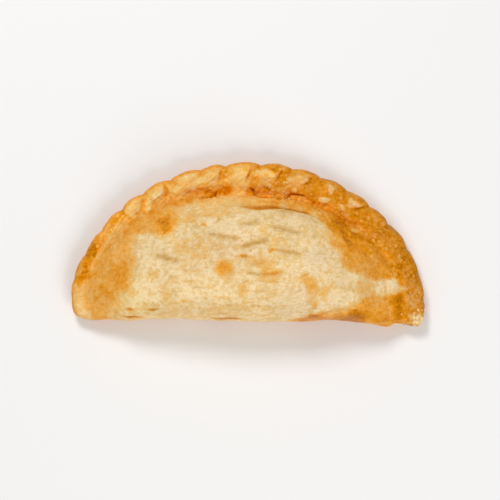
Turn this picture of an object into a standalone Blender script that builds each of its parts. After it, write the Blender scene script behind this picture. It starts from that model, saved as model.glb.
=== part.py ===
"""Beef empanada: a round of pastry folded into a half moon over its filling and shut with a pinched rope edge.

The uncut turnover is one closed solid. It lies on its flat underside with the fold towards -Y and the rope
edge arching over +Y. A ball of dough (a UV sphere) is pressed into shape: its equator becomes the outline seen
from above, its northern half the domed top and its southern half the underside. All sizes are in millimetres
until the last step, which turns them into metres and puts the origin at the middle of the base.
"""

import math

import bmesh
import bpy
import numpy as np

MM = 0.001

# Outline seen from above: an ellipse cut off by the fold line, which is y = 0 here.
HALF_LENGTH = 74.4
ARCH_HEIGHT = 61.0
WIDEST_Y = 5.7
LEFT_CORNER_SHARPNESS = 13.0
RIGHT_CORNER_SHARPNESS = 45.0

# Where the hand-folded arch strays from the ellipse: how far out, in which direction and over what spread, in
# degrees anticlockwise from +X.
ARCH_STRAYS = ((-0.9, 24.0, 26.0), (1.4, 184.0, 9.0))

# Where the fold strays from its line: how far in, at which X and over what spread. From the left: the left half
# lies a little further in, then come the waist and, near the right-hand tip, the heel.
FOLD_STRAYS = ((0.8, -38.0, 26.0), (0.9, 34.0, 7.0), (-2.2, 61.0, 15.0))

# The crest of the dome stands over this point, and every section of the dough is taken through it.
CREST_Y = 22.0
HEIGHT = 32.0
DOME_FULLNESS = 3.2
DOME_SHOULDER, TIP_SHOULDER = 0.82, 1.45
DOME_LEAN = 0.08

# Edge of the dough: the height of its widest line, and the radii that round it off.
ROPE_MID_HEIGHT, FOLD_MID_HEIGHT = 5.6, 11.5
ROPE_ROUNDING = 3.6
FOLD_ROUNDING = 0.62  # of the height it rounds off, above and below the widest line
ROPE_LIFT, ROPE_LIFT_REACH = 2.2, 15.0

# The rope edge: how wide it is at places along X, and how thick above its middle.
ROPE_WIDTHS = (
    *((-75.0, 4.8), (-60.0, 5.0), (-40.0, 7.2), (-18.0, 11.4), (5.0, 13.2)),
    *((38.0, 12.0), (53.0, 10.4), (64.0, 8.4), (75.0, 9.0)),
)
ROPE_HALF_THICKNESS = 3.0
SEAM_DEPTH, SEAM_HALF_WIDTH = 1.6, 2.4
SEAM_FADE = 0.6  # of its depth, that the seam has lost at the tips

# The pinches, counted along the edge from the right-hand tip over the top to the left-hand tip: the width of
# each, and how strongly it is pressed.
PINCH_WIDTHS = (
    *(9.0, 12.0, 11.4, 13.8, 10.2, 12.0, 12.6, 12.6, 13.6),
    *(15.0, 10.6, 13.8, 13.4, 11.0, 12.0, 12.6, 11.6, 9.0, 9.4),
)
PINCH_DEPTHS = (
    *(0.5, 0.5, 0.5, 1.0, 0.8, 1.0, 1.0, 1.0, 1.2),
    *(1.1, 0.9, 1.2, 1.2, 1.2, 0.9, 0.6, 0.6, 0.5, 0.4),
)
PINCH_STEEP_SIDE, PINCH_LONG_SIDE = 0.40, 0.70
PINCH_HEIGHT, PINCH_OUT = 2.4, 1.5
PINCH_SHARE_BELOW = 0.4
PINCH_SLANT, PINCH_SLANT_REACH = 0.35, 9.0

# A roll of slack pastry along the foot of the dome, and the crease behind it: how far past the seam they lie.
ROLL_HEIGHT, ROLL_PAST_SEAM, ROLL_THICKNESS = 1.5, 3.2, 1.7
CREASE_DEPTH, CREASE_PAST_SEAM, CREASE_THICKNESS = 0.9, 6.0, 1.3
ROLL_CENTRE_X, ROLL_REACH_X = 15.0, 36.0

# Low swells that keep hand-shaped dough from being even: height, waves across X and Y, and phase.
SWELLS = ((0.50, 1.3, 0.5, 0.4), (0.35, 2.3, 1.7, 1.9), (0.20, 3.9, -2.6, 4.1))
SWELL_LENGTH = 150.0
SWELL_INSET = 12.0

# Mesh: facets round each pinch, along the fold, and from the edge to the crest. Most of these rings crowd into
# a band along the edge, and the facets are thinned at the end to about the number that is kept.
FACETS_PER_PINCH = 12
FACETS_ON_FOLD = 60
RINGS = 38
EDGE_RINGS_SHARE = 0.68
EDGE_BAND = 23.0
EDGE_CROWDING = 1.5
KEPT_FACETS = 11600

CRUST_COLOUR = (0.75, 0.43, 0.15, 1.0)
CRUST_ROUGHNESS = 0.55


def ease(t):
    """A smooth step from 0 to 1 as t goes from 0 to 1."""
    t = np.clip(t, 0.0, 1.0)
    return t * t * (3.0 - 2.0 * t)


def hump(distance, spread):
    """A bell curve of height 1."""
    return np.exp(-((distance / spread) ** 2))


def quarter_round(distance, radius):
    """The rise from 0 to 1 of a rounded edge, a given distance in from it."""
    short = 1.0 - np.clip(distance / radius, 0.0, 1.0)
    return np.sqrt(1.0 - short * short)


def arch_reach(angle):
    """Distance from the crest to the arch of the outline, in each direction."""
    across, along = np.cos(angle), np.sin(angle)
    offset = CREST_Y - WIDEST_Y
    a = (across / HALF_LENGTH) ** 2 + (along / ARCH_HEIGHT) ** 2
    b = 2.0 * offset * along / ARCH_HEIGHT**2
    c = (offset / ARCH_HEIGHT) ** 2 - 1.0
    reach = (-b + np.sqrt(b * b - 4.0 * a * c)) / (2.0 * a)
    for out, direction, spread in ARCH_STRAYS:
        turn = (np.degrees(angle) - direction + 180.0) % 360.0 - 180.0
        reach = reach + out * hump(turn, spread)
    return reach


def inside_arch(x, y):
    """Distance in from the arch of the outline, whatever the direction of the nearest edge."""
    y = y - WIDEST_Y
    share = np.hypot(x / HALF_LENGTH, y / ARCH_HEIGHT)
    slope = np.hypot(x / HALF_LENGTH**2, y / ARCH_HEIGHT**2)
    return (1.0 - share) * share / np.maximum(slope, 1e-6)


def fold_line(x):
    """The Y of the folded edge, which is straight but for its strays."""
    return sum(inwards * hump(x - place, spread) for inwards, place, spread in FOLD_STRAYS)


def fold_reach(angle):
    """Distance from the crest to the fold line, very far where the direction points away from it."""
    down = np.maximum(-np.sin(angle), 1e-3)
    return (CREST_Y - fold_line(CREST_Y * np.cos(angle) / down)) / down


def outline_reach(angle):
    """Distance from the crest to the outline: the nearer of the ellipse and the fold, with rounded corners."""
    middle = (RIGHT_CORNER_SHARPNESS + LEFT_CORNER_SHARPNESS) / 2.0
    swing = (RIGHT_CORNER_SHARPNESS - LEFT_CORNER_SHARPNESS) / 2.0
    sharpness = middle + swing * np.cos(angle)
    arch, fold = arch_reach(angle), fold_reach(angle)
    ratio = np.minimum(arch / fold, fold / arch)
    return np.minimum(arch, fold) * (1.0 + ratio**sharpness) ** (-1.0 / sharpness)


class Outline:
    """The outline measured along its edge, anticlockwise from the right-hand tip."""

    SAMPLES = 4000

    def __init__(self):
        corner = math.atan2(-CREST_Y, HALF_LENGTH)
        self.angle = corner + np.linspace(0.0, 2.0 * math.pi, self.SAMPLES + 1)
        reach = outline_reach(self.angle)
        self.x = reach * np.cos(self.angle)
        self.y = CREST_Y + reach * np.sin(self.angle)
        steps = np.hypot(np.diff(self.x), np.diff(self.y))
        self.length = np.concatenate(([0.0], np.cumsum(steps)))
        self.rope_length = float(np.interp(math.pi - 2.0 * corner, self.angle - corner, self.length))
        tangent_x, tangent_y = np.gradient(self.x), np.gradient(self.y)
        outward = tangent_y * np.cos(self.angle) - tangent_x * np.sin(self.angle)
        self.squareness = outward / np.hypot(tangent_x, tangent_y)

    def angle_at(self, length):
        """Direction from the crest to the point this far along the edge."""
        whole = self.length[-1]
        turns = np.floor(length / whole)
        return np.interp(length - turns * whole, self.length, self.angle) + 2.0 * math.pi * turns

    def squareness_at(self, angle):
        """How squarely a line from the crest meets the edge: 1 where it is at right angles."""
        first = self.angle[0]
        return np.interp((angle - first) % (2.0 * math.pi), self.angle - first, self.squareness)


def pinch_bulge(phase):
    """Bulge of the rope at a phase whose whole numbers are the creases: steep on one side and long on the other.
    It is taken from its own middle height, so that a shallow pinch lies level with a deep one, and its depth
    changes gradually from the middle of one pinch to the middle of the next."""
    share = phase - np.floor(phase)
    peak = PINCH_STEEP_SIDE / (PINCH_STEEP_SIDE + PINCH_LONG_SIDE)
    rise = share**PINCH_STEEP_SIDE * (1.0 - share) ** PINCH_LONG_SIDE
    rise /= peak**PINCH_STEEP_SIDE * (1.0 - peak) ** PINCH_LONG_SIDE
    return (rise - 0.5) * np.interp(phase, np.arange(len(PINCH_DEPTHS)) + 0.5, PINCH_DEPTHS)


def rope_width(x):
    """Width of the rope edge, which is broadest at the top of the arch."""
    places, widths = zip(*ROPE_WIDTHS)
    return np.interp(x, places, widths)


def swell(x, y):
    """Slow uneven swelling of the dough."""
    total = np.zeros_like(x)
    for height, waves_x, waves_y, phase in SWELLS:
        total += height * np.sin(2.0 * math.pi * (waves_x * x + waves_y * y) / SWELL_LENGTH + phase)
    return total


def edge_position(longitude, outline):
    """Where each column of the ball comes to lie: its length along the edge, its phase among the pinches, and
    its share of the way along the fold."""
    columns = FACETS_PER_PINCH * len(PINCH_WIDTHS)
    column = longitude * (columns + FACETS_ON_FOLD)
    bounds = np.concatenate(([0.0], np.cumsum(PINCH_WIDTHS)))
    bounds *= outline.rope_length / bounds[-1]
    phase = np.minimum(column, columns) / FACETS_PER_PINCH
    on_fold = np.maximum(column - columns, 0.0) / FACETS_ON_FOLD
    length = np.interp(phase, np.arange(len(bounds)), bounds)
    return length + on_fold * (outline.length[-1] - outline.rope_length), phase, on_fold


def dome_share(x, distance, angle):
    """Share of the dome's height at a distance from the crest: 1 there, and 0 from the seam outwards."""
    pocket = arch_reach(angle) - rope_width(x)
    shoulder = DOME_SHOULDER + (TIP_SHOULDER - DOME_SHOULDER) * np.clip(np.abs(x) / HALF_LENGTH, 0.0, 1.0) ** 2
    return np.clip(1.0 - (distance / pocket) ** DOME_FULLNESS, 0.0, 1.0) ** shoulder


def upper_face(x, y, dome, pinches):
    """Height of the upper face inside its rounded edges: the rope, the seam, and the dome with its roll."""
    from_arch = inside_arch(x, y)
    past_seam = from_arch - rope_width(x)
    seam = SEAM_DEPTH * (1.0 - SEAM_FADE * (x / HALF_LENGTH) ** 2) * hump(past_seam, SEAM_HALF_WIDTH)
    roll = ROLL_HEIGHT * hump(past_seam - ROLL_PAST_SEAM, ROLL_THICKNESS)
    roll -= CREASE_DEPTH * hump(past_seam - CREASE_PAST_SEAM, CREASE_THICKNESS)
    roll *= hump(x - ROLL_CENTRE_X, ROLL_REACH_X)
    rope_top = ROPE_MID_HEIGHT + ROPE_HALF_THICKNESS
    dome_height = (HEIGHT - rope_top) * (1.0 - DOME_LEAN * x / HALF_LENGTH)
    uneven = swell(x, y) * ease(from_arch / SWELL_INSET)
    return rope_top + pinches - seam + dome_height * dome + roll + uneven


def lower_face(x, y, pinches):
    """Height of the underside inside its rounded edges: flat where it rests, lifted a little under the rope."""
    lift = ROPE_LIFT * (1.0 - ease(inside_arch(x, y) / ROPE_LIFT_REACH))
    return np.maximum(lift - PINCH_SHARE_BELOW * pinches, 0.0)


def widest_height(angle, reach):
    """Height of the widest line, from which both faces round off: it is highest at the middle of the fold."""
    over_fold = ease((-np.sin(angle) - 0.2) / 0.15)
    tallness = np.clip(1.0 - (reach * np.cos(angle) / HALF_LENGTH) ** 2, 0.0, 1.0)
    return ROPE_MID_HEIGHT + (FOLD_MID_HEIGHT - ROPE_MID_HEIGHT) * tallness * over_fold


def edge_share(rise, from_edge, above_fold):
    """How much of its rise from the widest line a face has made, at its distances from the edge and the fold."""
    fold_rounding = np.maximum(FOLD_ROUNDING * np.abs(rise), ROPE_ROUNDING)
    return np.minimum(quarter_round(from_edge, ROPE_ROUNDING), quarter_round(above_fold, fold_rounding))


def press(longitude, latitude, outline):
    """Presses points of the ball into the empanada. The longitude, 0 to 1, is the share of a whole turn from the
    right-hand tip; the latitude, -1 to 1, the share of the way from the equator to the lower or upper pole."""
    length, phase, on_fold = edge_position(longitude, outline)
    roped = ease(phase) * ease(len(PINCH_WIDTHS) - phase) * (on_fold == 0.0)
    bulge = pinch_bulge(phase) * roped

    # Each ring lies some way in from the edge, towards the crest. The rings of the edge band are slanted along
    # the edge, and so are the creases on them.
    near = np.clip(np.abs(latitude) / EDGE_RINGS_SHARE, 0.0, 1.0) ** EDGE_CROWDING * EDGE_BAND
    far = np.clip((np.abs(latitude) - EDGE_RINGS_SHARE) / (1.0 - EDGE_RINGS_SHARE), 0.0, 1.0)
    slant = PINCH_SLANT * np.sign(latitude) * np.minimum(near, PINCH_SLANT_REACH)
    angle = outline.angle_at(length + slant * roped)
    reach = outline_reach(angle) + PINCH_OUT * bulge
    narrowing = np.minimum(1.0, 0.8 * reach / EDGE_BAND)
    depth = near * narrowing + far * (reach - EDGE_BAND * narrowing)
    x = (reach - depth) * np.cos(angle)
    y = CREST_Y + (reach - depth) * np.sin(angle)

    from_edge = depth * outline.squareness_at(angle)
    above_fold = np.maximum(y - fold_line(x), 0.3 * from_edge)
    width = rope_width(x)
    pinches = PINCH_HEIGHT * bulge * (1.0 - ease((inside_arch(x, y) - 0.45 * width) / (0.75 * width)))
    upper = upper_face(x, y, dome_share(x, reach - depth, angle), pinches)
    middle = widest_height(angle, reach)
    rise = np.where(latitude >= 0.0, upper, lower_face(x, y, pinches)) - middle
    return np.stack([x, y, middle + edge_share(rise, from_edge, above_fold) * rise], axis=-1)


def make_empanada():
    """The empanada as a pressed ball of dough, with its facets thinned where it is smooth."""
    columns = FACETS_PER_PINCH * len(PINCH_WIDTHS) + FACETS_ON_FOLD
    ball = bmesh.new()
    bmesh.ops.create_uvsphere(ball, u_segments=columns, v_segments=2 * RINGS, radius=1.0)
    mesh = bpy.data.meshes.new("empanada")
    ball.to_mesh(mesh)
    ball.free()

    points = np.empty(len(mesh.vertices) * 3)
    mesh.vertices.foreach_get("co", points)
    points = points.reshape(-1, 3)
    longitude = (np.arctan2(points[:, 1], points[:, 0]) / (2.0 * math.pi)) % 1.0
    longitude = np.round(longitude * columns) % columns / columns
    latitude = np.round(np.arcsin(np.clip(points[:, 2], -1.0, 1.0)) / (math.pi / 2.0) * RINGS) / RINGS
    points = press(longitude, latitude, Outline())
    mesh.vertices.foreach_set("co", points.ravel() * MM)

    empanada = bpy.data.objects.new("empanada", mesh)
    thinned = empanada.modifiers.new("fewer facets where smooth", "DECIMATE")
    thinned.ratio = KEPT_FACETS / (4 * columns * RINGS)
    return empanada


def rest_on_origin(part):
    """Applies the modifiers, and moves the solid so that the origin is the middle of its base."""
    collection = bpy.data.collections.new("beef empanada")
    bpy.context.scene.collection.children.link(collection)
    collection.objects.link(part)
    evaluated = part.evaluated_get(bpy.context.evaluated_depsgraph_get())
    mesh = bpy.data.meshes.new_from_object(evaluated)
    part.modifiers.clear()
    part.data = mesh
    points = np.empty(len(mesh.vertices) * 3)
    mesh.vertices.foreach_get("co", points)
    points = points.reshape(-1, 3)
    low, high = points.min(axis=0), points.max(axis=0)
    points -= ((low[0] + high[0]) / 2.0, (low[1] + high[1]) / 2.0, low[2])
    mesh.vertices.foreach_set("co", points.ravel())
    mesh.shade_smooth()


def crust_material():
    """Browned pastry."""
    material = bpy.data.materials.new("crust")
    material.use_nodes = True
    shader = material.node_tree.nodes["Principled BSDF"]
    shader.inputs["Base Color"].default_value = CRUST_COLOUR
    shader.inputs["Roughness"].default_value = CRUST_ROUGHNESS
    shader.inputs["Metallic"].default_value = 0.0
    return material


def main():
    """Clears the scene and makes the empanada."""
    for item in list(bpy.data.objects):
        bpy.data.objects.remove(item)
    empanada = make_empanada()
    empanada.data.materials.append(crust_material())
    rest_on_origin(empanada)


main()
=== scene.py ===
"""The dressed beef empanada: a half-moon turnover of fried pastry, pale on its dome and brown at its edge.

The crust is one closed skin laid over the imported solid's own form, at half a millimetre a facet, with its
seam, roll, creases, dents and blisters in real relief. Lengths are in millimetres until a mesh is made: X
runs along the fold, Y from the fold (y = 0) towards the rope edge, and Z up from the surface below it.
"""

import logging
import math
from dataclasses import dataclass, field, fields
from enum import Enum
from typing import Any

import bpy
import numpy as np
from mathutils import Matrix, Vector


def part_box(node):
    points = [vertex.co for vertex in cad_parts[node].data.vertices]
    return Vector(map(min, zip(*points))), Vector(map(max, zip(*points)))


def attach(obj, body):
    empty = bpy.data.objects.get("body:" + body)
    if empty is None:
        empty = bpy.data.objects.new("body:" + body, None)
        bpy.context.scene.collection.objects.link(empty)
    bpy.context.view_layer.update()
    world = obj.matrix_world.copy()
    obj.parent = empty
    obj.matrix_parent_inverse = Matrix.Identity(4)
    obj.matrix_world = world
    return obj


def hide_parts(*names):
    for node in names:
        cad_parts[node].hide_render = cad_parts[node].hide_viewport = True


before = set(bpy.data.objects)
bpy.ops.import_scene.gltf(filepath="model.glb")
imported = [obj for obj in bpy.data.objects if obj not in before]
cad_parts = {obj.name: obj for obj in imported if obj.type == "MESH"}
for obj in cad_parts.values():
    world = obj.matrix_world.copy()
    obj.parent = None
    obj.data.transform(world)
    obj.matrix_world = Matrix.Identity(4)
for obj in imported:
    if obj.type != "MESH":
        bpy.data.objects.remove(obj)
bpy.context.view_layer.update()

LOG = logging.getLogger("empanada")
MM = 0.001

Point = tuple[float, float]
Place = tuple[float, float, float]
Colour = tuple[float, float, float]
Array = np.ndarray


def ease(t: Array) -> Array:
    """Returns a smooth step from 0 to 1 as t goes from 0 to 1."""
    t = np.clip(t, 0.0, 1.0)
    return t * t * (3.0 - 2.0 * t)


def hump(distance: Array, spread: float) -> Array:
    """Returns a bell curve of height 1."""
    return np.exp(-((distance / spread) ** 2))


def at_least(least: float, share: Array) -> Array:
    """Returns a share that falls to the given least value instead of to 0."""
    return least + (1.0 - least) * share


def quarter_round(distance: Array, radius: Array | float) -> Array:
    """Returns the rise from 0 to 1 of a rounded edge, a given distance in from it."""
    short = 1.0 - np.clip(distance / radius, 0.0, 1.0)
    return np.sqrt(1.0 - short * short)


def profile(x: Array, points: tuple[Point, ...]) -> Array:
    """Returns the value at each x of a profile that is given at a few places."""
    places, values = zip(*points)
    return np.interp(x, places, values)


@dataclass(frozen=True)
class Fade:
    """An effect that starts at one value and is whole a length further on, or back if that is negative."""

    start: float
    length: float

    def share(self, value: Array) -> Array:
        """Returns the share of the effect at each value, from 0 to 1."""
        return ease((value - self.start) / self.length)


@dataclass(frozen=True)
class Ripple:
    """Slow uneven noise made of a few waves, which are longer across than along where it is stretched."""

    strength: float
    length: float
    seed: int
    stretch: float = 1.0
    waves: int = 9
    shortest: float = 0.6
    longest: float = 1.6

    def at(self, x: Array, y: Array) -> Array:
        """Noise at each place.

        Args:
            x: Places across, in millimetres.
            y: Places along, in millimetres.

        Returns:
            The noise, mostly within one and a half times its strength.
        """
        chance = np.random.default_rng(self.seed)
        total = np.zeros_like(x)
        for _ in range(self.waves):
            turn = chance.uniform(0.0, 2.0 * math.pi)
            tightness = 2.0 * math.pi / self.length * chance.uniform(self.shortest, self.longest)
            along = x / self.stretch * math.cos(turn) + y * math.sin(turn)
            total += np.sin(tightness * along + chance.uniform(0.0, 2.0 * math.pi))
        return self.strength * (total / math.sqrt(self.waves / 2.0))


def rippled(x: Array, y: Array, ripples: tuple[Ripple, ...], start: Array | float = 0.0) -> Array:
    """Returns a value with the noise of several ripples added to it."""
    return sum((ripple.at(x, y) for ripple in ripples), start)


def out_of_oval(x: Array, y: Array, middle: Point, halves: Point, turn: float) -> Array:
    """How far out of a turned oval each place lies.

    Args:
        x: Places across.
        y: Places along.
        middle: Middle of the oval.
        halves: Its half length and its half width.
        turn: Degrees that its length is turned by.

    Returns:
        0 in the middle of the oval, 1 on its rim and more outside it.
    """
    cos, sin = math.cos(math.radians(turn)), math.sin(math.radians(turn))
    u = ((x - middle[0]) * cos + (y - middle[1]) * sin) / halves[0]
    v = (-(x - middle[0]) * sin + (y - middle[1]) * cos) / halves[1]
    return np.hypot(u, v)


def smooth_path(points: tuple[Point, ...], closed: bool = False, steps: int = 5) -> Array:
    """Rounds a path given by its corners.

    Args:
        points: The corners of the path.
        closed: Whether the last point is joined to the first.
        steps: Pieces that each stretch between two points is cut into.

    Returns:
        Points of a smooth curve through the corners, one row each.
    """
    corners = np.array(points, dtype=float)
    if len(corners) < 3:
        return corners
    count = len(corners)
    stretches = count if closed else count - 1
    made = []
    for k in range(stretches):
        near = range(k - 1, k + 3)
        a, b, c, d = (corners[n % count if closed else min(max(n, 0), count - 1)] for n in near)
        bend, twist = 2 * a - 5 * b + 4 * c - d, 3 * b - a - 3 * c + d
        for step in range(steps):
            t = step / steps
            made.append(0.5 * (2 * b + (c - a) * t + bend * t**2 + twist * t**3))
    if not closed:
        made.append(corners[-1])
    return np.array(made)


def nearest_on_path(x: Array, y: Array, path: Array) -> tuple[Array, Array]:
    """Measures places against a path.

    Args:
        x: Places across.
        y: Places along.
        path: Points of the path.

    Returns:
        The distance of each place from the path, and how far along the path its nearest point lies.
    """
    best = np.full(x.shape, 1e9)
    along = np.zeros_like(x)
    walked = 0.0
    for start, end in zip(path[:-1], path[1:]):
        step = end - start
        length = max(float(np.hypot(*step)), 1e-6)
        share = np.clip(((x - start[0]) * step[0] + (y - start[1]) * step[1]) / length**2, 0.0, 1.0)
        away = np.hypot(x - start[0] - share * step[0], y - start[1] - share * step[1])
        closer = away < best
        best = np.where(closer, away, best)
        along = np.where(closer, walked + share * length, along)
        walked += length
    return best, along


def inside_path(x: Array, y: Array, path: Array) -> Array:
    """Measures places against a closed path.

    Args:
        x: Places across.
        y: Places along.
        path: Points of the path.

    Returns:
        The distance of each place from the path, negative outside it.
    """
    ring = np.vstack([path, path[:1]])
    away, _ = nearest_on_path(x, y, ring)
    inside = np.zeros(x.shape, dtype=bool)
    for (ax, ay), (bx, by) in zip(ring[:-1], ring[1:]):
        if ay == by:
            continue
        crosses = (ay > y) != (by > y)
        inside ^= crosses & (x < (bx - ax) * (y - ay) / (by - ay) + ax)
    return np.where(inside, away, -away)


@dataclass(frozen=True)
class Groove:
    """A long mark pressed into the crust, or raised on it where its depth is negative."""

    path: tuple[Point, ...]
    half_width: float
    depth: float
    browning: float = 0.0
    taper: float = 1.5
    # How dark the mark is painted: painted shade in creases, crevices and dents, the mark's own darker tone
    # in specks and nicks.
    shade: float = 0.0
    end_width: float = 0.5
    end_depth: float = 0.05

    def share(self, x: Array, y: Array) -> Array:
        """How strongly each place lies under the mark, which thins out towards its ends.

        Args:
            x: Places across.
            y: Places along.

        Returns:
            1 along the middle of the mark, falling to 0 beside it.
        """
        path = smooth_path(self.path)
        away, along = nearest_on_path(x, y, path)
        whole = float(np.hypot(*np.diff(path, axis=0).T).sum())
        ends = ease(np.minimum(along, whole - along) / min(self.taper, whole / 2.0))
        half_width = self.half_width * at_least(self.end_width, ends)
        return hump(away, half_width) * at_least(self.end_depth, ends)


@dataclass(frozen=True)
class Bubble:
    """A single large blister, with a shallow moat round it whose sizes are shares of its own."""

    x: float
    y: float
    radius: float
    height: float
    fullness: float = 0.75
    moat_depth: float = 0.12
    moat_radius: float = 1.15
    moat_width: float = 0.25

    def away(self, x: Array, y: Array) -> Array:
        """Returns the distance of each place from the middle, in radii."""
        return np.hypot(x - self.x, y - self.y) / self.radius

    def rise(self, x: Array, y: Array) -> Array:
        """How far the blister raises each place.

        Args:
            x: Places across.
            y: Places along.

        Returns:
            The rise of each place, below 0 in the moat.
        """
        away = self.away(x, y)
        moat = self.moat_depth * hump(away - self.moat_radius, self.moat_width)
        return self.height * (np.clip(1.0 - away**2, 0.0, 1.0) ** self.fullness - moat)


@dataclass(frozen=True)
class Lobe:
    """An oval swelling of the rope between two pinches, paler or browner than what lies round it."""

    x: float
    y: float
    half_length: float
    half_width: float
    turn: float
    height: float
    browning: float
    flatness: float = 2.6
    steepness: float = 0.7

    def share(self, x: Array, y: Array) -> Array:
        """Returns how high each place stands on the lobe, from 0 to 1."""
        out = out_of_oval(x, y, (self.x, self.y), (self.half_length, self.half_width), self.turn)
        return np.clip(1.0 - out**self.flatness, 0.0, 1.0) ** self.steepness


@dataclass(frozen=True)
class Dab:
    """A soft oval of the crust that browned more, or less, than what lies round it."""

    x: float
    y: float
    across: float
    along: float
    browning: float
    turn: float = 0.0
    softness: float = 0.5

    def share(self, x: Array, y: Array) -> Array:
        """Returns how far each place takes on the dab's browning, from 0 to 1."""
        out = out_of_oval(x, y, (self.x, self.y), (self.across, self.along), self.turn)
        return 1.0 - ease((out - (1.0 - self.softness)) / (2.0 * self.softness))


@dataclass
class Outline:
    """The half moon seen from above: an ellipse cut off by the fold line."""

    half_length: float = 74.4
    arch_height: float = 61.0
    widest_y: float = 5.7
    crest_y: float = 22.0
    left_corner_sharpness: float = 13.0
    right_corner_sharpness: float = 45.0
    arch_strays: tuple[Place, ...] = ((-0.9, 24.0, 26.0), (1.4, 184.0, 9.0))
    fold_strays: tuple[Place, ...] = (
        (0.8, -38.0, 26.0), (0.9, 34.0, 7.0), (-2.2, 61.0, 15.0), (1.3, 59.5, 4.4), (-0.5, 65.0, 3.2),
        (-0.5, 53.5, 4.0), (0.35, -62.0, 4.0), (-0.3, -50.0, 4.0), (0.25, -28.0, 7.0),
    )
    samples: int = 4000

    def __post_init__(self) -> None:
        """Measures the outline along its edge, anticlockwise from the right-hand tip."""
        corner = math.atan2(-self.crest_y, self.half_length)
        self.angle: Array = corner + np.linspace(0.0, 2.0 * math.pi, self.samples + 1)
        reach = self.reach(self.angle)
        x, y = reach * np.cos(self.angle), self.crest_y + reach * np.sin(self.angle)
        steps = np.hypot(np.diff(x), np.diff(y))
        self.length: Array = np.concatenate(([0.0], np.cumsum(steps)))
        self.rope_length = float(np.interp(math.pi - 2.0 * corner, self.angle - corner, self.length))
        tangent_x, tangent_y = np.gradient(x), np.gradient(y)
        outward = tangent_y * np.cos(self.angle) - tangent_x * np.sin(self.angle)
        self.squareness: Array = outward / np.hypot(tangent_x, tangent_y)

    def arch_reach(self, angle: Array) -> Array:
        """Distance from the crest to the arch.

        Args:
            angle: Directions from the crest.

        Returns:
            The distance in each direction.
        """
        across, along = np.cos(angle), np.sin(angle)
        offset = self.crest_y - self.widest_y
        a = (across / self.half_length) ** 2 + (along / self.arch_height) ** 2
        b = 2.0 * offset * along / self.arch_height**2
        c = (offset / self.arch_height) ** 2 - 1.0
        reach = (-b + np.sqrt(b * b - 4.0 * a * c)) / (2.0 * a)
        for out, direction, spread in self.arch_strays:
            turn = (np.degrees(angle) - direction + 180.0) % 360.0 - 180.0
            reach = reach + out * hump(turn, spread)
        return reach

    def inside_arch(self, x: Array, y: Array) -> Array:
        """Distance in from the arch, whatever the direction of the nearest edge.

        Args:
            x: Places across.
            y: Places along.

        Returns:
            The distance of each place, negative outside the arch.
        """
        y = y - self.widest_y
        share = np.hypot(x / self.half_length, y / self.arch_height)
        slope = np.hypot(x / self.half_length**2, y / self.arch_height**2)
        return (1.0 - share) * share / np.maximum(slope, 1e-6)

    def fold_line(self, x: Array) -> Array:
        """Returns the Y of the folded edge, which strays a little from its line, most near the right tip."""
        return sum(out * hump(x - place, spread) for out, place, spread in self.fold_strays)

    def fold_reach(self, angle: Array) -> Array:
        """Returns the distance from the crest to the fold, very far where the direction points away."""
        down = np.maximum(-np.sin(angle), 1e-3)
        return (self.crest_y - self.fold_line(self.crest_y * np.cos(angle) / down)) / down

    def reach(self, angle: Array) -> Array:
        """Distance from the crest to the outline, whose two corners are rounded.

        Args:
            angle: Directions from the crest.

        Returns:
            The distance in each direction.
        """
        middle = (self.right_corner_sharpness + self.left_corner_sharpness) / 2.0
        swing = (self.right_corner_sharpness - self.left_corner_sharpness) / 2.0
        sharpness = middle + swing * np.cos(angle)
        arch, fold = self.arch_reach(angle), self.fold_reach(angle)
        ratio = np.minimum(arch / fold, fold / arch)
        return np.minimum(arch, fold) * (1.0 + ratio**sharpness) ** (-1.0 / sharpness)

    def angle_at(self, length: Array) -> Array:
        """Returns the direction from the crest to the point this far along the edge."""
        turns = np.floor(length / self.length[-1])
        return np.interp(length - turns * self.length[-1], self.length, self.angle) + 2.0 * math.pi * turns

    def squareness_at(self, angle: Array) -> Array:
        """Returns how squarely a line from the crest meets the edge: 1 where it is at right angles."""
        first = self.angle[0]
        return np.interp((angle - first) % (2.0 * math.pi), self.angle - first, self.squareness)


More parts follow.
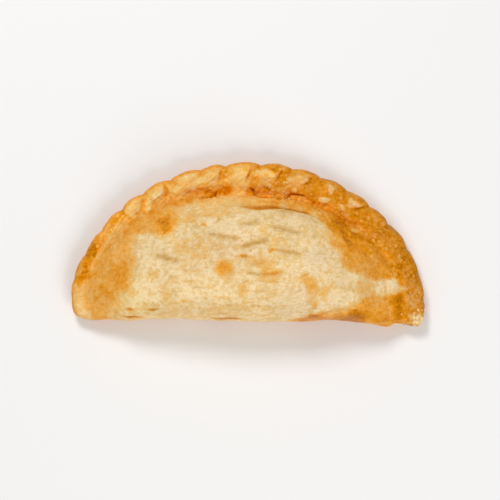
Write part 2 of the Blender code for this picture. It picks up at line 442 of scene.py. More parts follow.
@dataclass
class Rope:
    """The pinched edge that shuts the turnover, and the seam where it meets the dome."""

    widths_along_x: tuple[Point, ...] = (
        (-75.0, 4.8), (-60.0, 5.0), (-40.0, 7.2), (-18.0, 11.4), (5.0, 13.2),
        (38.0, 12.0), (53.0, 10.4), (64.0, 8.4), (75.0, 9.0),
    )
    mid_height: float = 5.6
    half_thickness: float = 3.0
    rounding: float = 2.9
    lift: float = 2.2
    lift_reach: float = 15.0
    seam_depths_along_x: tuple[Point, ...] = (
        (-75.0, 0.2), (-50.0, 0.3), (-30.0, 0.5), (-22.0, 1.5),
        (25.0, 1.5), (45.0, 1.0), (56.0, 0.4), (75.0, 0.2),
    )
    seam_half_width: float = 2.4
    pinch_widths: tuple[float, ...] = (
        9.0, 12.0, 11.4, 13.8, 10.2, 12.0, 12.6, 12.6, 13.6,
        15.0, 10.6, 13.8, 13.4, 11.0, 12.0, 12.6, 11.6, 9.0, 9.4,
    )
    pinch_depths: tuple[float, ...] = (
        0.5, 0.5, 0.5, 1.0, 0.8, 1.0, 1.0, 1.0, 1.2,
        1.1, 0.9, 1.2, 1.2, 1.2, 0.9, 0.7, 0.6, 0.3, 0.1,
    )
    steep_side: float = 0.55
    long_side: float = 0.85
    softness: float = 0.05
    pinch_height: float = 1.9
    pinch_out: float = 1.5
    share_below: float = 0.4
    slant: float = 0.35
    slant_reach: float = 9.0
    pinch_fade: Point = (0.15, 0.65)
    crease_depth: float = 0.1
    crease_width: float = 0.055

    def width(self, x: Array) -> Array:
        """Returns the width of the rope edge, which is broadest at the top of the arch."""
        return profile(x, self.widths_along_x)

    def seam_depth(self, x: Array) -> Array:
        """Returns the depth of the seam, which is deep only along the top of the arch."""
        return profile(x, self.seam_depths_along_x)

    def places(self, rope_length: float) -> Array:
        """Returns how far along the edge each crease between two pinches lies."""
        bounds = np.concatenate(([0.0], np.cumsum(self.pinch_widths)))
        return bounds * rope_length / bounds[-1]

    def depth(self, phase: Array) -> Array:
        """Returns how strongly the pinch at each phase is pressed."""
        return np.interp(phase, np.arange(len(self.pinch_depths)) + 0.5, self.pinch_depths)

    def bulge(self, phase: Array) -> Array:
        """Bulge of the rope between its creases, steeper on one side of a pinch than on the other.

        Args:
            phase: Places along the rope, where each whole number is a crease.

        Returns:
            The bulge of each place, below 0 near the creases.
        """
        share = phase - np.floor(phase)
        after, before = np.hypot(share, self.softness), np.hypot(1.0 - share, self.softness)
        peak = self.steep_side / (self.steep_side + self.long_side)
        rise = after**self.steep_side * before**self.long_side
        rise /= peak**self.steep_side * (1.0 - peak) ** self.long_side
        return (rise - 0.5) * self.depth(phase)

    def crease(self, phase: Array) -> Array:
        """Returns 1 on the creases between the pinches, falling to 0 beside them."""
        share = phase - np.floor(phase)
        return hump(np.minimum(share, 1.0 - share), self.crease_width) * self.depth(phase)


@dataclass
class Dome:
    """The filled pocket, with the roll of slack pastry along its foot."""

    height: float = 32.0
    fullness: float = 3.2
    shoulder: float = 0.82
    tip_shoulder: float = 1.8
    lean: float = 0.08
    fold_mid_height: float = 11.5
    fold_rounding: float = 0.62
    fold_side: Fade = Fade(0.2, 0.15)
    fold_slope: float = 0.3
    roll_height: float = 1.5
    roll_past_seam: float = 3.2
    roll_thickness: float = 1.7
    crease_depth: float = 0.9
    crease_past_seam: float = 6.0
    crease_thickness: float = 1.3
    roll_centre_x: float = 15.0
    roll_reach_x: float = 36.0
    swells: tuple[tuple[float, float, float, float], ...] = (
        (0.50, 1.3, 0.5, 0.4),
        (0.35, 2.3, 1.7, 1.9),
        (0.20, 3.9, -2.6, 4.1),
    )
    swell_length: float = 150.0
    swell_inset: float = 12.0

    def swell(self, x: Array, y: Array) -> Array:
        """Slow uneven swelling of hand-shaped dough.

        Args:
            x: Places across.
            y: Places along.

        Returns:
            How far each place is raised, below 0 where it sinks.
        """
        total = np.zeros_like(x)
        for height, waves_x, waves_y, phase in self.swells:
            total += height * np.sin(2.0 * math.pi * (waves_x * x + waves_y * y) / self.swell_length + phase)
        return total


class Face(Enum):
    """The two faces of the folded dough."""

    UPPER = 1.0
    LOWER = -1.0


@dataclass
class Dough:
    """The plain form of the turnover, which its relief is laid on."""

    outline: Outline = field(default_factory=Outline)
    rope: Rope = field(default_factory=Rope)
    dome: Dome = field(default_factory=Dome)

    def on_rope(self, x: Array, y: Array, fade: Point) -> Array:
        """Share of the rope in each place.

        Args:
            x: Places across.
            y: Places along.
            fade: Where it starts to fade, and over what length: shares of the rope's width.

        Returns:
            1 on the outer part of the rope, falling to 0 inside it.
        """
        width = self.rope.width(x)
        return 1.0 - ease((self.outline.inside_arch(x, y) - fade[0] * width) / (fade[1] * width))

    def past_seam(self, x: Array, y: Array) -> Array:
        """Returns how far inside the seam each place lies, negative on the rope."""
        return self.outline.inside_arch(x, y) - self.rope.width(x)

    def upper_height(self, x: Array, y: Array, distance: Array, angle: Array, pinches: Array) -> Array:
        """Height of the upper face inside its rounded edges.

        Args:
            x: Places across.
            y: Places along.
            distance: Distance of each place from the crest.
            angle: Direction of each place from the crest.
            pinches: Height that the pinches add to the rope.

        Returns:
            The height of the rope, the seam, the roll and the dome.
        """
        dome, rope = self.dome, self.rope
        past_seam = self.past_seam(x, y)
        pocket = self.outline.arch_reach(angle) - rope.width(x)
        out = np.clip(np.abs(x) / self.outline.half_length, 0.0, 1.0) ** 2
        shoulder = dome.shoulder + (dome.tip_shoulder - dome.shoulder) * out
        share = np.clip(1.0 - (distance / pocket) ** dome.fullness, 0.0, 1.0) ** shoulder
        roll = dome.roll_height * hump(past_seam - dome.roll_past_seam, dome.roll_thickness)
        roll -= dome.crease_depth * hump(past_seam - dome.crease_past_seam, dome.crease_thickness)
        roll *= hump(x - dome.roll_centre_x, dome.roll_reach_x)
        rope_top = rope.mid_height + rope.half_thickness
        dome_height = (dome.height - rope_top) * (1.0 - dome.lean * x / self.outline.half_length)
        seam = rope.seam_depth(x) * hump(past_seam, rope.seam_half_width)
        uneven = dome.swell(x, y) * ease(self.outline.inside_arch(x, y) / dome.swell_inset)
        return rope_top + pinches - seam + dome_height * share + roll + uneven

    def lower_height(self, x: Array, y: Array, pinches: Array) -> Array:
        """Returns the height of the underside: flat where it rests, lifted a little under the rope."""
        lift = self.rope.lift * (1.0 - ease(self.outline.inside_arch(x, y) / self.rope.lift_reach))
        return np.maximum(lift - self.rope.share_below * pinches, 0.0)

    def widest_height(self, angle: Array, reach: Array) -> Array:
        """Height of the widest line, which both faces round off from.

        Args:
            angle: Directions from the crest.
            reach: Distance from the crest to the outline in each of them.

        Returns:
            The height of the line in each direction.
        """
        over_fold = self.dome.fold_side.share(-np.sin(angle))
        tallness = np.clip(1.0 - (reach * np.cos(angle) / self.outline.half_length) ** 2, 0.0, 1.0)
        taller = self.dome.fold_mid_height - self.rope.mid_height
        return self.rope.mid_height + taller * tallness * over_fold

    def height(self, x: Array, y: Array, from_edge: Array, bulge: Array, face: Face) -> Array:
        """Height of either face.

        Args:
            x: Places across.
            y: Places along.
            from_edge: Distance of each place from the edge.
            bulge: Bulge of the pinch that each place lies on.
            face: Which of the two faces.

        Returns:
            The height of that face at each place.
        """
        from_crest = y - self.outline.crest_y
        angle, distance = np.arctan2(from_crest, x), np.hypot(x, from_crest)
        pinches = self.rope.pinch_height * bulge * self.on_rope(x, y, self.rope.pinch_fade)
        if face is Face.UPPER:
            full = self.upper_height(x, y, distance, angle, pinches)
        else:
            full = self.lower_height(x, y, pinches)
        middle = self.widest_height(angle, self.outline.reach(angle))
        rise = full - middle
        above_fold = np.maximum(y - self.outline.fold_line(x), self.dome.fold_slope * from_edge)
        fold_rounding = np.maximum(self.dome.fold_rounding * np.abs(rise), self.rope.rounding)
        rounded = np.minimum(
            quarter_round(from_edge, self.rope.rounding), quarter_round(above_fold, fold_rounding)
        )
        return middle + rounded * rise


@dataclass
class Weave:
    """How the skin's facets are laid: a band of rings along the edge, round a block of rows and columns."""

    facets_per_pinch: int = 24
    facets_along_block: int = 240
    facets_up_block: int = 96
    band_rings: int = 52
    lower_rings: int = 12
    band: float = 16.0
    fold_band: float = 8.0
    flattest_fold: float = 0.05
    band_blend: float = 6.0
    crowding: float = 1.5
    band_smoothing: int = 160
    block_smoothing: int = 400

    def columns(self, pinches: int) -> tuple[int, int]:
        """Returns the facets along the rope and along the fold."""
        rope = self.facets_per_pinch * pinches
        return rope, 2 * (self.facets_along_block + self.facets_up_block) - rope


@dataclass
class Skin:
    """The vertices of a face, with what is known of each."""

    x: Array
    y: Array
    z: Array
    from_edge: Array
    bulge: Array
    crease: Array
    face: Array

    @classmethod
    def joined(cls, parts: list["Skin"]) -> "Skin":
        """Returns the parts as one, in their order."""
        return cls(*(np.concatenate([getattr(p, f.name).ravel() for p in parts]) for f in fields(cls)))

    def inside_edge(self) -> "Skin":
        """Returns the rings but for the first, which is the edge itself."""
        return Skin(*(getattr(self, f.name)[1:] for f in fields(self)))


@dataclass
class SkinMaker:
    """Lays the closed skin of facets over the dough."""

    dough: Dough
    weave: Weave = field(default_factory=Weave)

    def band_depth(self, length: Array, fold_share: Array, roped: Array, bulge: Array, face: Face) -> Array:
        """Depth of the band, whose inner ring runs smoothly past the pinches and the bends of the fold.

        Args:
            length: How far along the edge each column starts.
            fold_share: How far along the fold it is, from 0 to 1.
            roped: How much of the rope's slant it takes.
            bulge: Bulge of the pinch that it lies on.
            face: Which face it lies on.

        Returns:
            The depth of the band at each column, towards the crest.
        """
        outline, rope, weave = self.dough.outline, self.dough.rope, self.weave
        angle = outline.angle_at(length + rope.slant * face.value * rope.slant_reach * roped)
        steepness = np.maximum(-np.sin(angle), weave.flattest_fold)
        on_fold = weave.band**-weave.band_blend + (weave.fold_band / steepness) ** -weave.band_blend
        on_fold = on_fold ** (-1.0 / weave.band_blend)
        band = np.where(fold_share > 0.0, on_fold, weave.band)
        reach = outline.reach(angle) + rope.pinch_out * bulge
        inner = reach - band
        for _ in range(weave.band_smoothing):
            inner = 0.5 * inner + 0.25 * (np.roll(inner, 1) + np.roll(inner, -1))
        return reach - inner

    def ring_band(self, rings: int, face: Face) -> Skin:
        """Places the rings of the band along the edge.

        Args:
            rings: Number of rings inside the edge itself.
            face: Which face they lie on.

        Returns:
            The rings, one row for each, starting at the edge.
        """
        outline, rope = self.dough.outline, self.dough.rope
        on_rope, on_fold = self.weave.columns(len(rope.pinch_widths))
        column = np.arange(on_rope + on_fold, dtype=float)
        phase = np.minimum(column, on_rope) / self.weave.facets_per_pinch
        fold_share = np.maximum(column - on_rope, 0.0) / on_fold
        creases = rope.places(outline.rope_length)
        length = np.interp(phase, np.arange(len(creases)), creases)
        length = length + fold_share * (outline.length[-1] - outline.rope_length)
        pinches = len(rope.pinch_widths)
        roped = ease(phase) * ease(pinches - phase) * (fold_share == 0.0)
        phase = np.minimum(phase, pinches - 1e-6)
        bulge, crease = rope.bulge(phase) * roped, rope.crease(phase) * roped

        share = (np.arange(rings + 1) / rings)[:, None] ** self.weave.crowding
        band = self.band_depth(length, fold_share, roped, bulge, face)
        depth = share * band[None, :]
        slant = rope.slant * face.value * np.minimum(depth, rope.slant_reach)
        angle = outline.angle_at(length[None, :] + slant * roped[None, :])
        reach = outline.reach(angle) + rope.pinch_out * bulge[None, :]
        x = (reach - depth) * np.cos(angle)
        y = outline.crest_y + (reach - depth) * np.sin(angle)
        from_edge = depth * outline.squareness_at(angle)
        bulge = np.broadcast_to(bulge, x.shape)
        z = self.dough.height(x, y, from_edge, bulge, face)
        crease = np.broadcast_to(crease, x.shape)
        return Skin(x, y, z, from_edge, bulge, crease, np.full(x.shape, face.value))

    def block(self, ring_x: Array, ring_y: Array, face: Face) -> Skin:
        """Fills the innermost ring with rows and columns.

        Args:
            ring_x: The ring's places across.
            ring_y: The ring's places along.
            face: Which face it lies on.

        Returns:
            The places inside the ring, one row for each row of the block.
        """
        along, up = self.weave.facets_along_block, self.weave.facets_up_block
        ring = np.stack([ring_x, ring_y], axis=-1)
        right, top = ring[: up + 1], ring[up : up + along + 1][::-1]
        left = ring[up + along : 2 * up + along + 1][::-1]
        bottom = np.vstack([ring[2 * up + along :], ring[:1]])
        u = np.linspace(0.0, 1.0, along + 1)[None, :, None]
        v = np.linspace(0.0, 1.0, up + 1)[:, None, None]
        grid = (1 - v) * bottom[None] + v * top[None] + (1 - u) * left[:, None] + u * right[:, None]
        grid -= (1 - u) * (1 - v) * bottom[0] + u * (1 - v) * bottom[-1]
        grid -= (1 - u) * v * top[0] + u * v * top[-1]
        inner = grid[1:-1, 1:-1]
        for _ in range(self.weave.block_smoothing):
            inner[:] = 0.25 * (grid[:-2, 1:-1] + grid[2:, 1:-1] + grid[1:-1, :-2] + grid[1:-1, 2:])
        x, y = inner[..., 0], inner[..., 1]
        outline, none = self.dough.outline, np.zeros(x.shape)
        angle = np.arctan2(y - outline.crest_y, x)
        depth = outline.reach(angle) - np.hypot(x, y - outline.crest_y)
        from_edge = depth * outline.squareness_at(angle)
        z = self.dough.height(x, y, from_edge, none, face)
        return Skin(x, y, z, from_edge, none, none, np.full(x.shape, face.value))

    def block_faces(self, ring: Array, first_inner: int, outward: bool) -> Array:
        """Facets of a block.

        Args:
            ring: Vertex numbers of the ring round it.
            first_inner: Vertex number of the first place inside it.
            outward: Whether its facets are numbered anticlockwise seen from above.

        Returns:
            Four vertex numbers for each facet.
        """
        along, up = self.weave.facets_along_block, self.weave.facets_up_block
        grid = np.empty((up + 1, along + 1), dtype=int)
        grid[: up + 1, along] = ring[: up + 1]
        grid[up, ::-1] = ring[up : up + along + 1]
        grid[::-1, 0] = ring[up + along : 2 * up + along + 1]
        grid[0, :along] = ring[2 * up + along :]
        grid[0, along] = ring[0]
        count = (up - 1) * (along - 1)
        grid[1:-1, 1:-1] = first_inner + np.arange(count).reshape(up - 1, along - 1)
        faces = np.stack([grid[:-1, :-1], grid[:-1, 1:], grid[1:, 1:], grid[1:, :-1]], axis=-1).reshape(-1, 4)
        return faces if outward else faces[:, ::-1]

    def build(self) -> tuple[Skin, Array]:
        """Lays the whole skin.

        Returns:
            Its vertices, and four vertex numbers for each facet.
        """
        top = self.ring_band(self.weave.band_rings, Face.UPPER)
        low = self.ring_band(self.weave.lower_rings, Face.LOWER)
        wide = top.x.shape[1]
        top_block = self.block(top.x[-1], top.y[-1], Face.UPPER)
        low_block = self.block(low.x[-1], low.y[-1], Face.LOWER)
        skin = Skin.joined([top, top_block, low.inside_edge(), low_block])

        rows = self.weave.band_rings
        here = np.arange(wide)
        after = (here + 1) % wide
        faces = []
        for row in range(rows):
            a, b = row * wide, (row + 1) * wide
            faces.append(np.stack([a + here, a + after, b + after, b + here], axis=-1))
        top_inner = (rows + 1) * wide
        faces.append(self.block_faces(rows * wide + here, top_inner, True))
        low_first = top_inner + top_block.x.size
        previous = here
        for row in range(self.weave.lower_rings):
            current = low_first + row * wide + here
            faces.append(np.stack([previous[after], previous, current, current[after]], axis=-1))
            previous = current
        low_block_first = low_first + self.weave.lower_rings * wide
        faces.append(self.block_faces(previous, low_block_first, False))
        return skin, np.vstack(faces)


def facing(points: Array, faces: Array) -> Array:
    """Directions that a skin faces.

    Args:
        points: Places of its vertices.
        faces: Four vertex numbers for each facet.

    Returns:
        A unit vector for each vertex.
    """
    a, b, c, d = (points[faces[:, k]] for k in range(4))
    normals = np.cross(c - a, d - b)
    total = np.zeros_like(points)
    for k in range(4):
        for axis in range(3):
            total[:, axis] += np.bincount(faces[:, k], weights=normals[:, axis], minlength=len(points))
    return total / np.maximum(np.linalg.norm(total, axis=1, keepdims=True), 1e-9)


@dataclass
class Relief:
    """The hand-made marks on the crust: seam crevices, creases, dents, wrinkles and single blisters."""

    grooves: tuple[Groove, ...] = (
        # The crevices of the seam: browned, and darkened by painted shade.
        Groove(
            ((-22.4, 52.4), (-20.4, 52.3), (-17.8, 52.8), (-15.2, 53.3), (-12.6, 55.5)),
            0.5, 1.5, 0.45, 2.5, 1.0,
        ),
        Groove(((0.6, 57.0), (1.7, 55.1), (3.0, 53.5), (5.9, 53.0), (10.2, 51.9)), 0.5, 1.3, 0.35, 2.5, 0.8),
        Groove(((7.0, 56.4), (8.6, 55.2), (7.6, 53.4)), 0.4, 0.5, 0.2, 1.5, 0.5),
        Groove(
            ((10.2, 51.9), (16.1, 52.2), (17.8, 53.4), (22.0, 53.0), (25.0, 52.0)),
            0.45, 1.2, 0.4, 2.5, 1.0,
        ),
        Groove(
            ((26.3, 50.9), (29.7, 48.4), (32.6, 47.0), (36.9, 44.9), (41.1, 42.8), (46.6, 40.5)),
            0.45, 0.6, 0.16, 3.0, 0.5,
        ),
        # The slack roll, and the crease behind it, whose thin shadow is painted in as browning and shade.
        Groove(
            ((-18.2, 50.3), (-5.5, 50.9), (7.2, 50.7), (18.0, 50.3), (28.0, 47.3), (38.2, 42.4)),
            1.2, -0.5,
        ),
        Groove(((3.4, 50.2), (8.5, 50.0), (13.6, 49.6)), 0.3, 0.35, 0.22),
        Groove(
            ((-7.6, 49.0), (3.4, 48.1), (11.4, 48.1), (17.8, 47.5), (23.3, 46.2), (27.1, 44.7), (32.0, 42.0)),
            0.65, 1.2, 0.28, 12.0, 1.0,
        ),
        Groove(
            ((5.0, 48.2), (11.4, 48.1), (17.8, 47.5), (23.3, 46.2), (27.6, 44.6)),
            0.34, 0.3, 0.0, 7.0, 1.5,
        ),
        # Creases that cross the rope, from the left.
        Groove(((-44.5, 52.4), (-44.9, 49.6), (-46.0, 46.2)), 0.7, 0.5, 0.3),
        Groove(((-36.0, 58.8), (-34.8, 56.0), (-35.0, 53.4), (-35.6, 51.7)), 0.75, 0.8, 0.45),
        Groove(((-23.9, 61.8), (-22.9, 59.4), (-22.0, 57.4)), 0.4, 0.45, 0.12),
        Groove(((-11.4, 65.2), (-11.9, 62.3), (-12.5, 59.8), (-14.4, 58.0)), 0.45, 0.8, 0.38),
        Groove(((1.7, 65.6), (0.4, 62.8), (-0.8, 60.2), (-1.1, 58.2)), 0.45, 0.8, 0.5),
        Groove(((14.6, 64.2), (13.1, 61.5), (11.7, 59.8), (10.4, 58.6)), 0.7, 0.9, 0.55),
        Groove(((26.0, 61.9), (26.1, 59.8), (24.6, 58.1), (23.4, 57.5)), 0.42, 0.6, 0.35),
        Groove(((36.4, 56.0), (35.2, 53.0)), 0.5, 0.4, 0.3),
        Groove(((50.0, 49.2), (46.6, 47.9), (43.4, 46.4)), 0.5, 0.5, 0.25),
        Groove(((-37.0, 48.0), (-33.0, 50.0), (-29.0, 49.0)), 0.5, 0.35, 0.15),
        # The thin ridge between the rope and the dome on the left, and the hollow outside it.
        Groove(
            ((-51.7, 46.6), (-54.7, 42.4), (-58.2, 36.4), (-62.8, 29.3), (-66.1, 25.0), (-67.8, 19.5)),
            0.42, -0.5, -0.28, 5.0,
        ),
        Groove(
            ((-52.7, 47.6), (-56.0, 43.2), (-59.5, 37.2), (-64.0, 30.2), (-67.2, 25.6)),
            0.5, 0.3, 0.12, 5.0,
        ),
        # A broad band of painted shade, with no depth, along the crease behind the roll.
        Groove(((6.0, 47.8), (17.0, 46.8), (26.0, 44.2), (34.0, 41.2)), 1.9, 0.0, 0.08, 10.0, 0.5),
        # Dents on the dome, darkened by painted shade.
        Groove(((-40.6, 28.4), (-34.5, 26.9), (-28.0, 24.9)), 1.25, 0.5, 0.0, 3.0, 1.0),
        Groove(((-36.6, 30.6), (-34.4, 30.4)), 0.7, 0.2, 0.0, 1.5, 0.6),
        Groove(((-5.6, 40.5), (1.3, 41.6), (6.4, 42.7)), 1.0, 0.35, 0.0, 3.0, 0.75),
        Groove(((7.4, 40.4), (14.4, 39.0), (23.2, 37.1)), 1.15, 0.45, 0.0, 3.5, 0.9),
        Groove(((-18.4, 37.5), (-10.6, 36.0), (-3.0, 35.1)), 1.0, 0.4, 0.0, 3.5, 0.8),
        Groove(((-4.2, 31.3), (2.0, 33.0), (9.4, 35.0)), 1.2, 0.5, 0.0, 3.0, 1.3),
        Groove(((9.8, 30.2), (15.8, 29.6), (22.6, 28.6)), 1.1, 0.45, 0.03, 3.0, 0.9),
        Groove(((-1.0, 23.4), (3.0, 24.6), (7.9, 26.4)), 1.0, 0.25, 0.0, 3.0, 0.5),
        Groove(((-2.2, 20.8), (7.2, 20.1), (14.4, 20.7)), 0.7, 0.35, 0.1, 3.0, 0.8),
        Groove(((0.4, 12.8), (6.7, 13.1)), 0.55, 0.25, 0.08, 2.0, 0.5),
        Groove(((-3.9, 16.0), (0.5, 17.7)), 0.32, 0.25, 0.04, 1.5, 0.9),
        Groove(((21.0, 18.6), (25.9, 21.0)), 0.32, 0.25, 0.04, 1.5, 0.9),
        Groove(((18.0, 12.1), (22.9, 13.9)), 0.32, 0.25, 0.02, 1.5, 0.9),
        Groove(((-26.4, 17.1), (-22.0, 17.4)), 0.32, 0.25, 0.04, 1.5, 0.8),
        Groove(((-24.7, 14.6), (-17.4, 14.4)), 0.32, 0.25, 0.04, 1.5, 0.9),
        Groove(((-29.4, 21.0), (-25.0, 22.2), (-20.6, 24.1)), 0.9, 0.25, 0.0, 3.0, 0.4),
        Groove(((-18.0, 33.0), (-13.0, 31.0), (-8.6, 30.6)), 2.6, 0.3, 0.0, 5.0, 0.3),
        Groove(((-35.0, 19.2), (-30.0, 19.0)), 0.4, 0.2, 0.04, 2.0, 0.4),
        Groove(((-10.4, 7.1), (-6.0, 7.0)), 0.35, 0.2, 0.04, 1.5, 0.5),
        Groove(((0.4, 6.9), (5.6, 6.7)), 0.35, 0.2, 0.04, 1.5, 0.5),
        Groove(((-13.8, 3.9), (-7.4, 3.7)), 0.4, 0.2, 0.04, 1.5, 0.5),
        Groove(((-27.0, 45.6), (-20.0, 44.2), (-14.0, 45.6)), 0.7, 0.25, 0.03, 3.0, 0.4),
        # Small dark specks.
        Groove(((-13.1, 43.0), (-12.0, 44.0)), 0.35, 0.2, 0.12, 0.5, 1.0),
        Groove(((13.8, 43.3), (14.5, 44.0)), 0.3, 0.15, 0.08, 0.5, 0.8),
        Groove(((21.2, 40.6), (21.8, 39.6)), 0.4, 0.2, 0.05, 0.5, 0.9),
        Groove(((0.0, 29.0), (1.2, 30.6)), 0.35, 0.2, 0.1, 0.5, 0.8),
        Groove(((-3.7, 28.3), (-2.6, 27.5), (-2.0, 27.6)), 0.4, 0.2, 0.35, 0.5, 0.8),
        Groove(((-2.0, 27.4), (-1.0, 28.1)), 0.4, 0.2, 0.35, 0.5, 0.9),
        Groove(((6.8, 43.8), (7.2, 43.0)), 0.3, 0.15, 0.05, 0.5, 0.7),
        # Browned nicks along the bottom, and the wavy lower edge on the right.
        Groove(((-52.6, 5.6), (-50.0, 5.2), (-47.2, 5.0)), 0.6, 0.4, 0.5, 2.5, 0.8),
        Groove(((-43.4, 4.9), (-40.0, 5.2), (-37.0, 5.8)), 0.5, 0.4, 0.5, 2.5, 0.7),
        Groove(((-55.0, 2.6), (-50.8, 2.0), (-48.0, 2.2), (-43.2, 1.4)), 0.55, 0.4, 0.68, 5.5, 1.3),
        Groove(((-18.8, 2.2), (-12.2, 1.3), (-7.0, 1.6), (0.8, 1.1)), 0.52, 0.25, 0.62, 9.0, 1.2),
        Groove(
            ((24.0, 1.2), (31.4, 3.6), (36.9, 4.8), (41.1, 5.2), (45.8, 4.8), (50.0, 3.8)),
            0.7, 0.08, 0.12, 3.0, 0.2,
        ),
        Groove(((55.0, 1.0), (58.6, 2.4), (62.0, 0.9)), 0.8, -0.3, -0.05),
    )
    lobes: tuple[Lobe, ...] = (
        # Between the pinches, from the left-hand tip to the right-hand one.
        Lobe(-50.0, 46.6, 3.3, 2.6, 40.0, 0.56, 0.14),
        Lobe(-43.0, 48.8, 3.3, 1.5, 80.0, 0.42, 0.14),
        Lobe(-38.8, 54.1, 4.0, 2.0, 46.0, 0.7, 0.12),
        Lobe(-28.4, 56.2, 6.2, 3.5, 52.0, 0.56, 0.24),
        Lobe(-17.8, 60.4, 5.8, 2.1, 22.0, 0.7, 0.14),
        Lobe(-8.6, 59.8, 3.2, 1.8, 70.0, 0.28, 0.34),
        Lobe(-3.6, 62.3, 3.7, 2.7, 25.0, 0.63, 0.19),
        Lobe(-3.2, 57.0, 3.9, 3.3, 80.0, 0.35, 0.22),
        Lobe(7.4, 62.0, 6.0, 2.1, 3.0, 0.63, 0.19),
        Lobe(20.4, 60.0, 5.4, 2.3, -3.0, 0.63, 0.34),
        Lobe(24.4, 60.4, 1.6, 1.4, 0.0, 0.21, 0.18),
        Lobe(32.2, 51.8, 2.2, 1.9, 90.0, 0.56, 0.12),
        Lobe(34.6, 56.4, 1.9, 1.3, 90.0, 0.35, 0.26),
        Lobe(44.7, 50.2, 4.2, 1.7, -27.0, 0.63, 0.14),
        Lobe(39.6, 47.9, 1.4, 1.3, 0.0, 0.42, 0.2),
        Lobe(41.6, 45.4, 1.2, 1.0, 0.0, 0.35, 0.34),
        Lobe(45.2, 39.0, 1.8, 1.0, -20.0, 0.28, 0.26),
        Lobe(53.4, 41.6, 2.2, 1.4, 90.0, 0.42, 0.5),
        Lobe(53.2, 36.9, 1.3, 1.2, 0.0, 0.42, 0.4),
        Lobe(60.2, 32.2, 2.9, 1.6, -60.0, 0.42, 0.56),
        Lobe(62.8, 27.1, 1.4, 0.8, -15.0, 0.28, 0.36),
        Lobe(66.1, 19.5, 3.8, 1.3, -85.0, 0.28, 0.6),
        Lobe(67.0, 9.3, 2.3, 1.4, 80.0, 0.42, 0.42),
        Lobe(69.1, 7.4, 1.2, 1.0, 90.0, 0.35, 0.34),
        Lobe(67.0, 2.1, 1.7, 1.1, 0.0, 0.28, 0.36),
    )
    bubbles: tuple[Bubble, ...] = (
        Bubble(52.6, 33.9, 1.2, 0.4), Bubble(68.7, 20.8, 0.9, 0.5), Bubble(69.5, 19.1, 0.9, 0.5),
        Bubble(71.0, 10.6, 0.8, 0.5), Bubble(58.4, 30.4, 0.9, 0.4), Bubble(47.6, 42.6, 1.0, 0.4),
        Bubble(55.8, 38.0, 1.0, 0.5), Bubble(50.4, 43.6, 1.1, 0.4), Bubble(37.4, 52.4, 1.0, 0.4),
        Bubble(-56.8, 41.1, 0.9, 0.3), Bubble(-59.2, 36.9, 0.9, 0.3), Bubble(-62.8, 33.9, 0.9, 0.3),
        Bubble(-64.0, 31.8, 1.0, 0.4), Bubble(-69.8, 22.0, 1.1, 0.25), Bubble(-58.2, 38.6, 0.8, 0.3),
        Bubble(-9.8, 62.0, 1.0, 0.5), Bubble(-10.4, 63.9, 0.8, 0.4), Bubble(8.3, 57.7, 1.1, 0.4),
    )
    rope_fade: Point = (0.75, 0.45)
    creases_below: float = 0.5
    rope_roughness: tuple[Ripple, ...] = (Ripple(0.20, 5.0, 21), Ripple(0.09, 2.2, 22))
    rough_at_edge: float = 0.25
    inside_edge: Fade = Fade(0.0, 2.5)
    rough_at_left_tip: float = 0.3
    past_left_tip: Fade = Fade(-73.0, 8.0)
    seam_roughness: tuple[Ripple, ...] = (Ripple(0.22, 2.4, 23),)
    seam_spread: float = 2.2
    seam_begins: Fade = Fade(-55.0, 20.0)
    seam_ends: Fade = Fade(58.0, -14.0)
    rough_past_seam: float = 0.2
    dome_unevenness: tuple[Ripple, ...] = (Ripple(0.16, 11.0, 31, 1.8), Ripple(0.055, 3.0, 32, 2.2))
    fold_wrinkles: tuple[Ripple, ...] = (Ripple(0.06, 3.4, 33, 7.0),)
    near_fold: Fade = Fade(30.0, -20.0)
    torn_corner: Place = (71.0, 0.5, 4.0)
    corner_roughness: tuple[Ripple, ...] = (Ripple(0.45, 1.9, 41),)
    lower_unevenness: tuple[Ripple, ...] = (Ripple(0.12, 9.0, 51), Ripple(0.05, 3.0, 52))
    inside_lower_edge: Fade = Fade(0.0, 4.0)

    def height(self, skin: Skin, dough: Dough) -> Array:
        """Height of the relief over the plain form.

        Args:
            skin: The vertices.
            dough: The form that they lie on.

        Returns:
            How far each vertex is raised.
        """
        x, y = skin.x, skin.y
        upper = skin.face > 0.0
        total = np.zeros_like(x)
        for groove in self.grooves:
            total -= groove.depth * groove.share(x, y)
        for lobe in self.lobes:
            total += lobe.height * lobe.share(x, y)
        for bubble in self.bubbles:
            total += bubble.rise(x, y)
        total *= upper

        on_rope = dough.on_rope(x, y, self.rope_fade)
        creased = skin.crease * on_rope * np.where(upper, 1.0, self.creases_below)
        total -= dough.rope.crease_depth * creased
        rough = at_least(self.rough_at_edge, self.inside_edge.share(skin.from_edge))
        rough *= at_least(self.rough_at_left_tip, self.past_left_tip.share(x))
        total += on_rope * rough * rippled(x, y, self.rope_roughness)
        seam = hump(dough.past_seam(x, y), self.seam_spread) * upper
        seam *= at_least(self.rough_past_seam, self.seam_begins.share(x) * self.seam_ends.share(x))
        total += seam * rippled(x, y, self.seam_roughness)
        dome = (1.0 - on_rope) * upper
        total += dome * rippled(x, y, self.dome_unevenness)
        total += dome * rippled(x, y, self.fold_wrinkles) * self.near_fold.share(y)
        corner_x, corner_y, corner_reach = self.torn_corner
        corner = hump(np.hypot(x - corner_x, y - corner_y), corner_reach)
        total += corner * rippled(x, y, self.corner_roughness)
        lower = ~upper * self.inside_lower_edge.share(skin.from_edge)
        total += lower * rippled(x, y, self.lower_unevenness)
        return total


